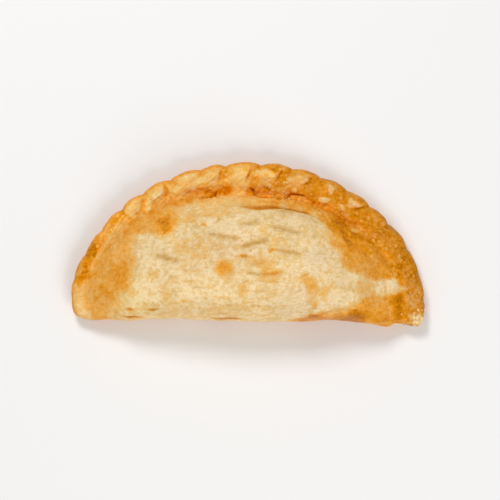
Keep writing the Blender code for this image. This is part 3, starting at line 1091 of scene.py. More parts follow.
@dataclass
class Browning:
    """How brown the frying left each place, from 0 for cream to 1 for deep orange-brown.

    Lengths are in millimetres. Where a number adds to the browning, one below 0 makes its place paler.
    """

    pale_border: tuple[Point, ...] = (
        (-60.2, 7.2), (-57.7, 10.6), (-56.6, 12.4), (-53.4, 15.6), (-51.7, 20.0), (-52.2, 26.0),
        (-53.0, 33.1),
        (-48.2, 36.8), (-39.0, 36.9), (-34.8, 37.6), (-32.0, 41.6), (-30.6, 46.8), (-26.0, 50.0),
        (-20.4, 51.2), (-11.0, 52.0), (3.0, 51.6), (12.0, 49.6), (22.0, 46.8), (30.0, 44.6),
        (31.4, 41.4), (33.2, 37.1), (35.2, 31.6), (38.0, 26.6), (41.8, 23.2), (46.4, 20.4),
        (53.0, 18.4), (59.4, 17.0), (66.6, 15.2), (66.6, 14.4), (61.0, 12.6), (54.0, 11.2),
        (46.0, 9.2), (39.0, 6.4), (33.9, 4.2), (27.1, 2.3), (21.2, 0.9), (13.6, -1.5),
        (0.0, -3.0), (-20.4, -3.0), (-44.0, -3.0), (-54.3, 0.0), (-61.5, 2.6),
    )
    dabs: tuple[Dab, ...] = (
        # The left-hand zone and tip.
        Dab(-61.0, 23.0, 11.4, 18.0, 0.48, -20.0),
        Dab(-53.9, 22.0, 2.9, 8.4, 0.68, 8.0),
        Dab(-59.8, 12.5, 4.4, 2.8, 0.60, -25.0),
        Dab(-63.0, 6.0, 6.5, 6.0, 0.48, 0.0, 0.8),
        Dab(-72.0, 9.6, 4.0, 7.0, 0.26, -15.0),
        Dab(-70.6, 3.0, 3.6, 4.0, 0.12, 0.0, 0.8),
        Dab(-54.5, 30.0, 4.0, 6.0, 0.40),
        # The rope.
        Dab(-69.6, 20.5, 2.2, 6.5, 0.88, -20.0),
        Dab(-66.6, 30.0, 1.9, 4.0, 1.0, -35.0),
        Dab(-56.2, 41.8, 1.9, 5.0, 0.80, -35.0),
        Dab(-40.0, 47.6, 5.0, 3.4, 0.44, 40.0),
        Dab(-57.0, 38.0, 2.4, 4.6, 0.34, -38.0, 0.8),
        Dab(11.0, 65.3, 3.4, 1.0, 0.86),
        # The seam.
        Dab(-25.0, 51.6, 2.2, 1.9, 0.62),
        Dab(-17.4, 55.2, 5.6, 2.0, 0.58, 12.0),
        Dab(-16.3, 54.4, 2.2, 1.1, 0.80, 12.0),
        Dab(-10.0, 54.8, 3.6, 2.1, 0.86, 8.0),
        Dab(-5.2, 55.4, 2.8, 3.6, 0.30),
        Dab(1.0, 55.1, 2.9, 2.0, 0.70, -15.0),
        Dab(8.1, 55.7, 4.0, 3.0, 0.60, -8.0),
        Dab(7.6, 56.0, 1.3, 1.3, 0.86),
        Dab(16.5, 54.0, 7.5, 1.9, 0.52, 2.0),
        Dab(-16.0, 48.6, 7.4, 3.0, 0.30, 0.0, 0.9),
        Dab(-18.9, 50.9, 2.4, 1.5, 0.46),
        Dab(-13.4, 49.6, 1.1, 1.3, 0.34),
        # The patch above the dome's left shoulder.
        Dab(-37.6, 43.6, 8.0, 7.0, 0.46, 20.0),
        Dab(-35.2, 40.9, 3.0, 3.4, 0.92),
        Dab(-40.7, 45.2, 4.0, 2.6, 0.56),
        # The roll.
        Dab(-6.4, 50.9, 9.0, 1.7, 0.22),
        Dab(4.6, 49.8, 6.0, 1.5, 0.40, 0.0, 0.9),
        Dab(16.5, 50.6, 8.0, 1.6, 0.54, -2.0),
        Dab(33.0, 45.2, 8.0, 1.6, 0.48, -32.0),
        # The right-hand side.
        Dab(52.0, 44.0, 22.0, 7.0, 0.72, -40.0),
        Dab(29.5, 54.4, 4.0, 3.0, 0.74),
        Dab(43.6, 40.8, 8.0, 1.2, 0.46, -35.0, 0.7),
        Dab(42.0, 36.8, 9.4, 3.6, 1.0, -40.0),
        Dab(47.5, 32.4, 3.5, 3.5, 0.86),
        Dab(51.5, 30.0, 6.0, 2.4, 0.76, -25.0),
        Dab(51.0, 25.0, 8.5, 4.6, 0.56, -20.0, 0.8),
        Dab(59.0, 22.0, 6.0, 4.2, 0.60, -15.0, 0.8),
        Dab(63.6, 22.0, 2.2, 6.0, 0.84, 14.0, 0.8),
        Dab(68.2, 24.8, 1.6, 3.8, 0.90, 28.0),
        Dab(50.0, 5.4, 12.0, 4.0, 0.56, 2.0, 0.7),
        Dab(63.4, 6.2, 2.6, 7.5, 0.98, 2.0, 0.8),
        Dab(70.4, 9.0, 3.0, 6.5, 0.58, 5.0),
        Dab(61.0, 14.6, 6.0, 1.5, 0.05, 3.0, 0.8),
        Dab(41.5, 1.4, 9.0, 2.4, 1.04, 5.0),
        Dab(25.5, 1.0, 8.0, 1.1, 0.88, 3.0),
        Dab(57.0, 0.5, 6.0, 1.6, 0.72),
        Dab(71.4, 0.4, 4.4, 2.6, 0.0),
        # Faint patches and spots on the dome.
        Dab(-9.8, 42.0, 6.0, 3.4, -0.06, 0.0, 1.0),
        Dab(-41.6, 27.4, 4.4, 6.4, -0.06, 0.0, 1.0),
        Dab(-44.0, 16.0, 3.2, 4.6, -0.04, 0.0, 1.0),
        Dab(37.0, 10.4, 6.0, 6.0, -0.06, 0.0, 1.0),
        Dab(-20.3, 11.0, 6.6, 3.0, -0.06, 0.0, 1.0),
        Dab(22.0, 43.2, 4.4, 3.0, -0.04, 0.0, 1.0),
        Dab(-15.0, 46.4, 8.0, 2.2, 0.2, 0.0, 1.0),
        Dab(18.8, 6.4, 5.4, 4.4, -0.05, 0.0, 1.0),
        Dab(26.0, 25.0, 3.6, 6.0, -0.04, 0.0, 1.0),
        Dab(-20.8, 31.4, 8.6, 4.2, 0.17, 0.0, 1.0),
        Dab(3.0, 25.6, 5.4, 2.4, 0.17, 0.0, 1.0),
        Dab(10.0, 35.0, 3.4, 3.0, 0.16, 0.0, 1.0),
        Dab(-30.0, 5.0, 18.0, 3.0, 0.13, 0.0, 1.0),
        Dab(47.8, 14.4, 3.6, 3.0, 0.25),
        Dab(26.2, 15.2, 5.6, 2.1, 0.37, -48.0, 0.7),
        Dab(31.0, 12.8, 4.4, 2.2, 0.27, 22.0, 0.8),
        Dab(27.4, 9.0, 1.9, 3.0, 0.22),
        Dab(-1.9, 27.2, 1.8, 1.0, 0.36),
        Dab(9.3, 30.2, 1.3, 1.1, 0.56),
        Dab(6.9, 23.4, 2.6, 1.9, 0.40, 0.0, 0.8),
        Dab(9.6, 21.0, 4.6, 0.9, 0.40, 0.0, 0.8),
        Dab(8.6, 18.6, 4.6, 1.6, 0.26),
        Dab(27.1, 7.0, 1.7, 1.5, 0.32),
        Dab(-2.7, 13.4, 2.0, 2.4, 0.24),
        Dab(-24.8, 44.0, 2.4, 1.8, 0.32),
        Dab(-20.4, 34.3, 4.6, 1.6, 0.13),
        Dab(-18.6, 39.3, 0.6, 0.5, 0.55),
        Dab(-12.7, 42.9, 1.2, 0.4, 0.40, 35.0),
        Dab(-27.1, 8.5, 0.9, 0.7, 0.36),
    )
    # Painted light and shade along the rope: lighter on the left, darker on the right.
    rope_painted_light_along_x: tuple[Point, ...] = (
        (-75.0, 0.0), (-66.0, 0.0), (-58.0, 1.0), (-30.0, 0.6), (0.0, 0.2),
        (30.0, -0.5), (48.0, -0.4), (58.0, -1.2), (75.0, -1.2),
    )
    # Places painted lighter than the rest, or darker below 0, as painted light and shade: here the browning
    # of a dab is its painted light.
    painted_light_dabs: tuple[Dab, ...] = (
        Dab(-11.0, 30.0, 16.0, 8.0, -0.55, 0.0, 1.0),
        Dab(21.0, 8.0, 12.0, 7.0, -0.4, 0.0, 1.0),
        Dab(29.0, 26.0, 6.0, 5.0, -0.6, 0.0, 1.0),
        Dab(-48.0, 10.0, 6.0, 9.0, 0.6, 0.0, 1.0),
        Dab(43.0, 35.0, 8.0, 5.0, 0.8, -38.0, 1.0),
        Dab(-35.2, 40.9, 3.0, 3.4, 0.6, 0.0, 1.0),
        Dab(71.4, 0.4, 4.4, 2.8, 0.1),
    )
    # Spots whose edges don't waver.
    spots: tuple[Dab, ...] = (
        Dab(-10.1, 22.7, 3.5, 3.5, 0.43, 0.0, 0.5),
        Dab(-10.0, 22.9, 2.3, 2.1, 0.60, 0.0, 0.9),
        Dab(-40.4, 19.7, 1.8, 1.8, 0.26, 0.0, 0.8),
        Dab(-34.6, 11.4, 1.8, 1.8, 0.25, 0.0, 0.8),
    )

    border_steps: int = 4
    border: Fade = Fade(-1.71, 3.8)
    waver_x: tuple[Ripple, ...] = (Ripple(0.6, 9.0, 61), Ripple(0.18, 3.2, 62))
    waver_y: tuple[Ripple, ...] = (Ripple(0.6, 9.0, 63), Ripple(0.18, 3.2, 64))
    pale: float = 0.05
    fried: float = 0.56
    fried_unevenness: tuple[Ripple, ...] = (Ripple(0.05, 12.0, 65),)
    fold_browning: float = 0.05
    fold_reach: float = 16.0
    rope_fade: Point = (0.7, 0.4)
    rope_on_left: float = 0.44
    rope_more_on_right: float = 0.35
    rightwards: Fade = Fade(-30.0, 70.0)
    left_tip_browning: float = -0.22
    left_tip_x: Fade = Fade(-62.0, -8.0)
    left_tip_y: Fade = Fade(18.0, -8.0)
    crest_browning: float = -0.20
    crest_base: float = 0.15
    crest_span: float = 0.65
    crest_inset: Fade = Fade(0.6, 1.4)
    lobe_slope: float = 1.3
    lobe_start: float = -0.1
    bubble_browning: float = -0.5
    bubble_slope: float = 1.5
    moat_browning: float = 0.35
    moat_spread: float = 0.35
    rim_browning: float = 0.82
    rim_share: float = 0.75
    rim_inset: float = 0.1
    rim_spread: float = 1.0
    rim_reach: float = 6.0
    rim_above_fold: float = 2.0
    crease_browning: float = 0.07
    past_left_tip: Fade = Fade(-66.0, 8.0)
    wall_height: float = 9.0
    wall_depth: float = 12.0
    wall_browning: float = 0.22
    wall_average: float = 0.7
    wall_unevenness: tuple[Ripple, ...] = (Ripple(0.5, 8.0, 66, 2.0),)
    past_arch: Fade = Fade(6.0, 3.0)
    below: float = 0.55
    below_unevenness: tuple[Ripple, ...] = (Ripple(0.16, 18.0, 71), Ripple(0.08, 6.0, 72))
    below_rim_browning: float = 0.12
    below_rim: Fade = Fade(6.0, -6.0)
    below_inset: Fade = Fade(0.0, 3.0)
    brownest: float = 1.2
    # Painted light in the seam and on the lobes, and where along x it begins and ends.
    seam_painted_light_spread: float = 3.0
    seam_painted_light_begins: Fade = Fade(-30.0, 20.0)
    seam_painted_light_ends: Fade = Fade(45.0, -15.0)
    lobe_painted_light_ends: Fade = Fade(18.0, -10.0)
    blisters_where_brown: Fade = Fade(0.22, 0.4)
    blister_average: float = 0.65
    blister_unevenness: tuple[Ripple, ...] = (Ripple(0.3, 8.0, 81),)
    blisters_on_dome: float = 0.15
    blisters_past_rope: Point = (1.0, 0.5)
    blisters_on_left: float = 0.2
    blisters_rightwards: Fade = Fade(-5.0, 40.0)
    blister_inset: Fade = Fade(0.6, 1.5)
    blister_height: Fade = Fade(1.0, 2.0)
    bare_below: float = 0.08

    def rope(self, skin: Skin) -> Array:
        """Browning of the rope: browner to the right, and paler at its left tip and on its crests.

        Args:
            skin: The vertices.

        Returns:
            The browning of every vertex, as if it lay on the rope.
        """
        crests = np.clip(skin.bulge + self.crest_base, 0.0, 1.0) / self.crest_span
        left_tip = self.left_tip_x.share(skin.x) * self.left_tip_y.share(skin.y)
        rope = self.rope_on_left + self.rope_more_on_right * self.rightwards.share(skin.x)
        rope += self.left_tip_browning * left_tip
        return rope + self.crest_browning * crests * self.crest_inset.share(skin.from_edge)

    def ground(self, skin: Skin, dough: Dough, x: Array, y: Array) -> Array:
        """Browning of the dome, of the fried zone round it and of the rope, without marks.

        Args:
            skin: The vertices.
            dough: The form that they lie on.
            x: Their places across, which waver a little so that no border is smooth.
            y: Their places along, likewise.

        Returns:
            The browning of every vertex.
        """
        border = smooth_path(self.pale_border, True, self.border_steps)
        pale = self.border.share(inside_path(x, y, border))
        fried = rippled(skin.x, skin.y, self.fried_unevenness, self.fried)
        brown = fried + (self.pale - fried) * pale
        brown += pale * self.fold_browning * np.clip((self.fold_reach - skin.y) / self.fold_reach, 0.0, 1.0)
        return brown + (self.rope(skin) - brown) * dough.on_rope(skin.x, skin.y, self.rope_fade)

    def hidden(self, skin: Skin, dough: Dough, brown: Array) -> Array:
        """Browning with that of the fold's wall and the underside.

        Args:
            skin: The vertices.
            dough: The form that they lie on.
            brown: The browning as seen from above.

        Returns:
            The browning of every vertex.
        """
        from_arch = dough.outline.inside_arch(skin.x, skin.y)
        wall = np.clip((self.wall_height - skin.z) / self.wall_height, 0.0, 1.0) * (skin.y < self.wall_depth)
        wall *= self.past_arch.share(from_arch)
        wall *= rippled(skin.x, skin.z, self.wall_unevenness, self.wall_average)
        brown = brown + self.wall_browning * wall
        below = rippled(skin.x, skin.y, self.below_unevenness, self.below)
        below += self.below_rim_browning * self.below_rim.share(skin.from_edge)
        return brown + (below - brown) * self.below_inset.share(skin.from_edge) * (skin.face < 0.0)

    def amount(self, skin: Skin, dough: Dough, relief: Relief) -> Array:
        """Browning of every vertex.

        Args:
            skin: The vertices.
            dough: The form that they lie on.
            relief: The marks, some of which browned.

        Returns:
            The browning, from 0 to a little over 1.
        """
        x = rippled(skin.x, skin.y, self.waver_x, skin.x)
        y = rippled(skin.x, skin.y, self.waver_y, skin.y)
        brown = self.ground(skin, dough, x, y)
        for dab in self.dabs:
            brown += (dab.browning - brown) * dab.share(x, y)
        for spot in self.spots:
            brown += (spot.browning - brown) * spot.share(skin.x, skin.y)
        for lobe in relief.lobes:
            brown += (lobe.browning - brown) * ease(self.lobe_slope * lobe.share(x, y) + self.lobe_start)
        for bubble in relief.bubbles:
            away = bubble.away(skin.x, skin.y)
            top = self.bubble_browning * ease(self.bubble_slope * (1.0 - away))
            moat = self.moat_browning * hump(away - bubble.moat_radius, self.moat_spread)
            brown += bubble.height * (top + moat)

        rim = hump(skin.from_edge - self.rim_inset, self.rim_spread)
        rim *= (dough.outline.inside_arch(skin.x, skin.y) < self.rim_reach) * (skin.y > self.rim_above_fold)
        brown += (self.rim_browning - brown) * self.rim_share * rim
        on_rope = dough.on_rope(skin.x, skin.y, self.rope_fade)
        brown += self.crease_browning * skin.crease * on_rope * self.past_left_tip.share(skin.x)
        for groove in relief.grooves:
            if groove.browning:
                brown += groove.browning * groove.share(skin.x, skin.y)
        return np.clip(self.hidden(skin, dough, brown), 0.0, self.brownest)

    def shade(self, skin: Skin, relief: Relief) -> Array:
        """Painted shade in the creases, crevices and dents, and the darker tone of a few specks and nicks.

        Args:
            skin: The vertices.
            relief: The marks, some of which carry painted shade.

        Returns:
            The darkening of every vertex, painted shade for the most part, 0 for none.
        """
        total = np.zeros_like(skin.x)
        for groove in relief.grooves:
            if groove.shade:
                total = np.maximum(total, groove.shade * groove.share(skin.x, skin.y))
        return total * (skin.face > 0.0)

    def painted_light(self, skin: Skin, dough: Dough, relief: Relief) -> Array:
        """Painted light and shade: how much lighter each place is painted than its browning gives.

        Args:
            skin: The vertices.
            dough: The form that they lie on.
            relief: The marks, whose lobes are painted lighter on the left.

        Returns:
            The painted light of every vertex, below 0 where it is painted shade.
        """
        total = profile(skin.x, self.rope_painted_light_along_x) * dough.on_rope(skin.x, skin.y, self.rope_fade)
        seam = hump(dough.past_seam(skin.x, skin.y), self.seam_painted_light_spread)
        seam *= self.seam_painted_light_begins.share(skin.x) * self.seam_painted_light_ends.share(skin.x)
        total += (1.0 - total) * seam
        for lobe in relief.lobes:
            total += (1.0 - total) * lobe.share(skin.x, skin.y) * self.lobe_painted_light_ends.share(skin.x)
        for dab in self.painted_light_dabs:
            total += (dab.browning - total) * dab.share(skin.x, skin.y)
        return total * (skin.face > 0.0)

    def blistering(self, skin: Skin, dough: Dough, brown: Array) -> Array:
        """How thickly each place is covered with small blisters.

        Args:
            skin: The vertices.
            dough: The form that they lie on.
            brown: Their browning: what stayed pale has few blisters.

        Returns:
            The covering of every vertex, from 0 to 1.
        """
        zone = self.blisters_where_brown.share(brown)
        zone *= rippled(skin.x, skin.y, self.blister_unevenness, self.blister_average)
        zone *= at_least(self.blisters_on_dome, dough.on_rope(skin.x, skin.y, self.blisters_past_rope))
        zone *= at_least(self.blisters_on_left, self.blisters_rightwards.share(skin.x))
        inside = self.blister_inset.share(skin.from_edge) * self.blister_height.share(skin.z)
        return np.clip(zone * inside * (skin.face > 0.0) - self.bare_below, 0.0, 1.0)


def linear(colour: Colour) -> tuple[float, float, float, float]:
    """Turns a display colour into the light that it stands for.

    Args:
        colour: Its three parts, from 0 to 255.

    Returns:
        The light of each part from 0 to 1, and 1 for solid.
    """
    parts = [c / 255.0 for c in colour]
    parts = [c / 12.92 if c <= 0.04045 else ((c + 0.055) / 1.055) ** 2.4 for c in parts]
    return (parts[0], parts[1], parts[2], 1.0)


class Graph:
    """Adds nodes to a tree and links them."""

    def __init__(self, tree: bpy.types.NodeTree) -> None:
        """Keeps the tree that the nodes go into."""
        self.tree = tree

    def add(self, kind: str, inputs: dict[int | str, Any] | None = None, **settings: Any) -> bpy.types.Node:
        """Adds one node.

        Args:
            kind: The type of node.
            inputs: A socket to link, or a value to set, for each input by its number or name.
            **settings: Properties of the node.

        Returns:
            The node.
        """
        node = self.tree.nodes.new(kind)
        for name, value in settings.items():
            setattr(node, name, value)
        for key, value in (inputs or {}).items():
            if isinstance(value, bpy.types.NodeSocket):
                self.tree.links.new(value, node.inputs[key])
            else:
                node.inputs[key].default_value = value
        return node

    def math(self, operation: str, *values: Any, clamp: bool = False) -> bpy.types.NodeSocket:
        """Returns the result of a Math node on one to three values."""
        node = self.add("ShaderNodeMath", dict(enumerate(values)), operation=operation, use_clamp=clamp)
        return node.outputs[0]

    def vector(self, operation: str, *values: Any) -> bpy.types.Node:
        """Returns a Vector Math node."""
        return self.add("ShaderNodeVectorMath", dict(enumerate(values)), operation=operation)

    def layered(self, base: Any, *layers: tuple[Any, float]) -> bpy.types.NodeSocket:
        """Adds layers to a value.

        Args:
            base: The value.
            *layers: Each layer, with the share of it to add.

        Returns:
            The sum.
        """
        for layer, share in layers:
            base = self.math("MULTIPLY_ADD", layer, share, base)
        return base

    def step(self, value: Any, low: float, high: float) -> bpy.types.NodeSocket:
        """Adds a smooth step from 0 to 1.

        Args:
            value: The value that it follows.
            low: Where the step starts.
            high: Where it ends.

        Returns:
            The step.
        """
        node = self.add(
            "ShaderNodeMapRange",
            {"Value": value, "From Min": low, "From Max": high},
            interpolation_type="SMOOTHSTEP",
        )
        return node.outputs["Result"]


class Finish(Graph):
    """The nodes of a material, which lies on the piece's own coordinates."""

    def __init__(self, name: str) -> None:
        """Starts the material.

        Args:
            name: Name of the material.
        """
        self.material = bpy.data.materials.new(name)
        self.material.use_nodes = True
        super().__init__(self.material.node_tree)
        self.shader = self.tree.nodes["Principled BSDF"]
        self.place = self.add("ShaderNodeTexCoord").outputs["Object"]

    def kept(self, attribute: str) -> bpy.types.NodeSocket:
        """Returns the value that the mesh keeps under a name."""
        return self.add("ShaderNodeAttribute", attribute_name=attribute).outputs["Fac"]

    def noise(
        self, size: float, detail: float, roughness: float = 0.55, place: Any = None
    ) -> bpy.types.NodeSocket:
        """Noise about zero.

        Args:
            size: Size of its features in millimetres.
            detail: How many finer layers it has.
            roughness: How strong those are.
            place: Coordinates other than the piece's own.

        Returns:
            The noise, between -0.5 and 0.5.
        """
        inputs = {"Vector": self.place if place is None else place, "Scale": 1.0 / (size * MM)}
        node = self.add("ShaderNodeTexNoise", inputs | {"Detail": detail, "Roughness": roughness})
        return self.math("SUBTRACT", node.outputs[0], 0.5)

    def cells(self, size: float) -> bpy.types.NodeSocket:
        """Returns the distance from the middle of the nearest of some scattered cells of this size."""
        inputs = {"Vector": self.place, "Scale": 1.0 / (size * MM)}
        return self.add("ShaderNodeTexVoronoi", inputs).outputs["Distance"]

    def dress(self, **values: Any) -> None:
        """Sets or links inputs of the shader.

        Args:
            **values: A socket to link, or a value to set, for each input: underscores stand for spaces.
        """
        for name, value in values.items():
            socket = self.shader.inputs[name.replace("_", " ")]
            if isinstance(value, bpy.types.NodeSocket):
                self.tree.links.new(value, socket)
            else:
                socket.default_value = value


@dataclass(frozen=True)
class CrustFinish:
    """Fried pastry: matt cream where it stayed pale, and glossier golden to orange-brown where it fried.

    The colours stand at their browning. Sizes and bumps are in millimetres, and where two numbers stand
    together, an effect starts at the first and is whole at the second.
    """

    name: str = "fried crust"
    stops: tuple[tuple[float, Colour], ...] = (
        (0.00, (249, 220, 170)), (0.10, (240, 203, 139)), (0.30, (243, 187, 104)),
        (0.50, (240, 169, 72)), (0.65, (236, 154, 40)), (0.78, (227, 143, 12)),
        (0.92, (214, 131, 0)), (1.10, (187, 106, 0)),
    )
    brownest: float = 1.2
    mottle_size: float = 4.2
    mottle_browning: float = 0.75
    mottle_where_pale: float = 0.52
    mottle_where_brown: float = 0.22
    mottle_bump: float = 0.2
    speckle_size: float = 0.9
    speckle_browning: float = 0.8
    speckle_where_pale: float = 0.2
    speckle_where_brown: float = 0.6
    speckle_bump: float = 0.16
    speckle_roughness: float = 0.25
    thread_size: float = 0.8
    thread_stretch: Place = (0.18, 1.0, 1.0)
    thread_contrast: float = 0.34
    thread_bump: float = 0.16
    cloud_size: float = 9.0
    cloud_contrast: float = 0.28
    blister_size: float = 1.3
    crown_edge: Point = (0.05, 0.55)
    crown_browning: float = -0.15
    crown_bump: float = 0.22
    gap_edge: Point = (0.45, 0.85)
    gap_browning: float = 0.12
    top_browning: float = -0.24
    ring_browning: float = 0.18
    pore_size: float = 3.4
    pore_edge: Point = (0.04, 0.11)
    pore_browning: float = 0.14
    pore_bump: float = -0.1
    grain_size: float = 0.35
    grain_bump: float = 0.08
    flour_size: float = 1.1
    flour_contrast: float = 0.6
    flour_tint: Colour = (0.8, 0.95, 1.4)
    # How much painted light and shade lighten or darken red, green and blue.
    painted_light_gain: Colour = (0.15, 0.16, 0.04)
    # The colour that the painted shade multiplies the crust's colour by.
    shade_and_speck_tint: tuple[float, float, float, float] = (0.76, 0.635, 0.42, 1.0)
    roughness: float = 0.58
    oily: Point = (0.15, 0.65)
    oil_polish: float = -0.20

    def colour(self, nodes: Finish, shade: bpy.types.NodeSocket) -> bpy.types.NodeSocket:
        """Adds the colours of the browning.

        Args:
            nodes: The material.
            shade: The browning, as a share of the brownest.

        Returns:
            The colour of each place.
        """
        ramp = nodes.add("ShaderNodeValToRGB", {"Fac": shade})
        elements = ramp.color_ramp.elements
        while len(elements) < len(self.stops):
            elements.new(0.5)
        for element, (stop, colour) in zip(elements, self.stops):
            element.position = stop / self.brownest
            element.color = linear(colour)
        return ramp.outputs["Color"]

    def shaded_and_dusted(self, nodes: Finish, colour: bpy.types.NodeSocket, flour: Any) -> bpy.types.NodeSocket:
        """Darkens a colour with painted shade in the hollows, lightens it by its flour, and adds painted
        light and shade.

        Args:
            nodes: The material.
            colour: The colour of the browning.
            flour: How much more flour than elsewhere lies in each place.

        Returns:
            The colour of the crust.
        """
        # Painted shade from the mesh's shade, with the darker tone of specks and nicks.
        shaded = nodes.add(
            "ShaderNodeMix",
            {0: nodes.kept("shade"), 6: colour, 7: self.shade_and_speck_tint},
            data_type="RGBA",
            blend_type="MULTIPLY",
            clamp_factor=False,
        )
        # Painted light and shade kept on the mesh.
        painted_light = nodes.kept("painted_light")
        lights = {
            part: nodes.layered(1.0, (flour, share), (painted_light, gain))
            for part, (share, gain) in enumerate(zip(self.flour_tint, self.painted_light_gain))
        }
        light = nodes.add("ShaderNodeCombineXYZ", lights)
        return nodes.vector("MULTIPLY", shaded.outputs[2], light.outputs[0]).outputs[0]

    def material(self) -> bpy.types.Material:
        """Builds the crust's material.

        Returns:
            The material, which reads the browning and blistering kept on the mesh.
        """
        nodes = Finish(self.name)
        brown, blistering = nodes.kept("browning"), nodes.kept("blistering")
        finer = nodes.noise(self.mottle_size / 2.0, 2.0)
        mottle = nodes.math("ADD", nodes.noise(self.mottle_size, 3.0, 0.6), finer)
        speckle, grain = nodes.noise(self.speckle_size, 3.0), nodes.noise(self.grain_size, 2.0)
        along = nodes.vector("MULTIPLY", nodes.place, self.thread_stretch).outputs[0]
        thread = nodes.noise(self.thread_size, 2.0, 0.5, along)
        small_cells = nodes.cells(self.blister_size)
        crown = nodes.math("SUBTRACT", 1.0, nodes.step(small_cells, *self.crown_edge))
        crown = nodes.math("MULTIPLY", crown, blistering)
        gap = nodes.math("MULTIPLY", nodes.step(small_cells, *self.gap_edge), blistering)
        pore = nodes.math("SUBTRACT", 1.0, nodes.step(nodes.cells(self.pore_size), *self.pore_edge))

        mottling = nodes.math("MULTIPLY_ADD", brown, self.mottle_where_brown, self.mottle_where_pale)
        speckling = nodes.math("MULTIPLY_ADD", brown, self.speckle_where_brown, self.speckle_where_pale)
        shade = nodes.layered(
            brown,
            (nodes.math("MULTIPLY", mottle, mottling), self.mottle_browning),
            (nodes.math("MULTIPLY", speckle, speckling), self.speckle_browning),
            (crown, self.crown_browning),
            (gap, self.gap_browning),
            (nodes.kept("blister_top"), self.top_browning),
            (nodes.kept("blister_ring"), self.ring_browning),
            (pore, self.pore_browning),
        )
        shade = nodes.math("DIVIDE", shade, self.brownest, clamp=True)
        flour = nodes.layered(
            0.0,
            (nodes.noise(self.flour_size, 3.0, 0.7), self.flour_contrast),
            (thread, self.thread_contrast),
            (nodes.noise(self.cloud_size, 1.0), self.cloud_contrast),
        )
        roughness = nodes.layered(self.roughness, (nodes.step(shade, *self.oily), self.oil_polish))
        raised = nodes.layered(
            0.0,
            (crown, self.crown_bump * MM),
            (speckle, self.speckle_bump * MM),
            (grain, self.grain_bump * MM),
            (thread, self.thread_bump * MM),
            (mottle, self.mottle_bump * MM),
            (pore, self.pore_bump * MM),
        )
        bump = nodes.add("ShaderNodeBump", {"Height": raised, "Distance": 1.0, "Strength": 1.0})
        nodes.dress(
            Base_Color=self.shaded_and_dusted(nodes, self.colour(nodes, shade), flour),
            Roughness=nodes.math("MULTIPLY_ADD", speckle, self.speckle_roughness, roughness, clamp=True),
            Normal=bump.outputs["Normal"],
            Subsurface_Weight=0.06,
            Subsurface_Radius=(1.0, 0.55, 0.25),
            Subsurface_Scale=1.0 * MM,
            Specular_IOR_Level=0.3,
            Specular_Tint=(1.0, 0.72, 0.14, 1.0),
        )
        return nodes.material


@dataclass(frozen=True)
class FlakeFinish:
    """Loose flakes of crust, fried crisp; on the seam their pale colour also stands in for painted
    highlights.
    """

    name: str = "crust flakes"
    pale: Colour = (252, 208, 138)
    golden: Colour = (243, 182, 100)
    patch_size: float = 2.5
    patch_edge: Point = (-0.1, 0.1)

    def material(self) -> bpy.types.Material:
        """Builds the flakes' material.

        Returns:
            The material.
        """
        nodes = Finish(self.name)
        patch = nodes.step(nodes.noise(self.patch_size, 2.0, 0.5), *self.patch_edge)
        colours = {0: patch, 6: linear(self.pale), 7: linear(self.golden)}
        nodes.dress(
            Base_Color=nodes.add("ShaderNodeMix", colours, data_type="RGBA").outputs[2],
            Roughness=0.7,
            Specular_IOR_Level=0.2,
            Specular_Tint=(1.0, 0.72, 0.2, 1.0),
            Subsurface_Weight=0.1,
            Subsurface_Scale=1.0 * MM,
        )
        return nodes.material


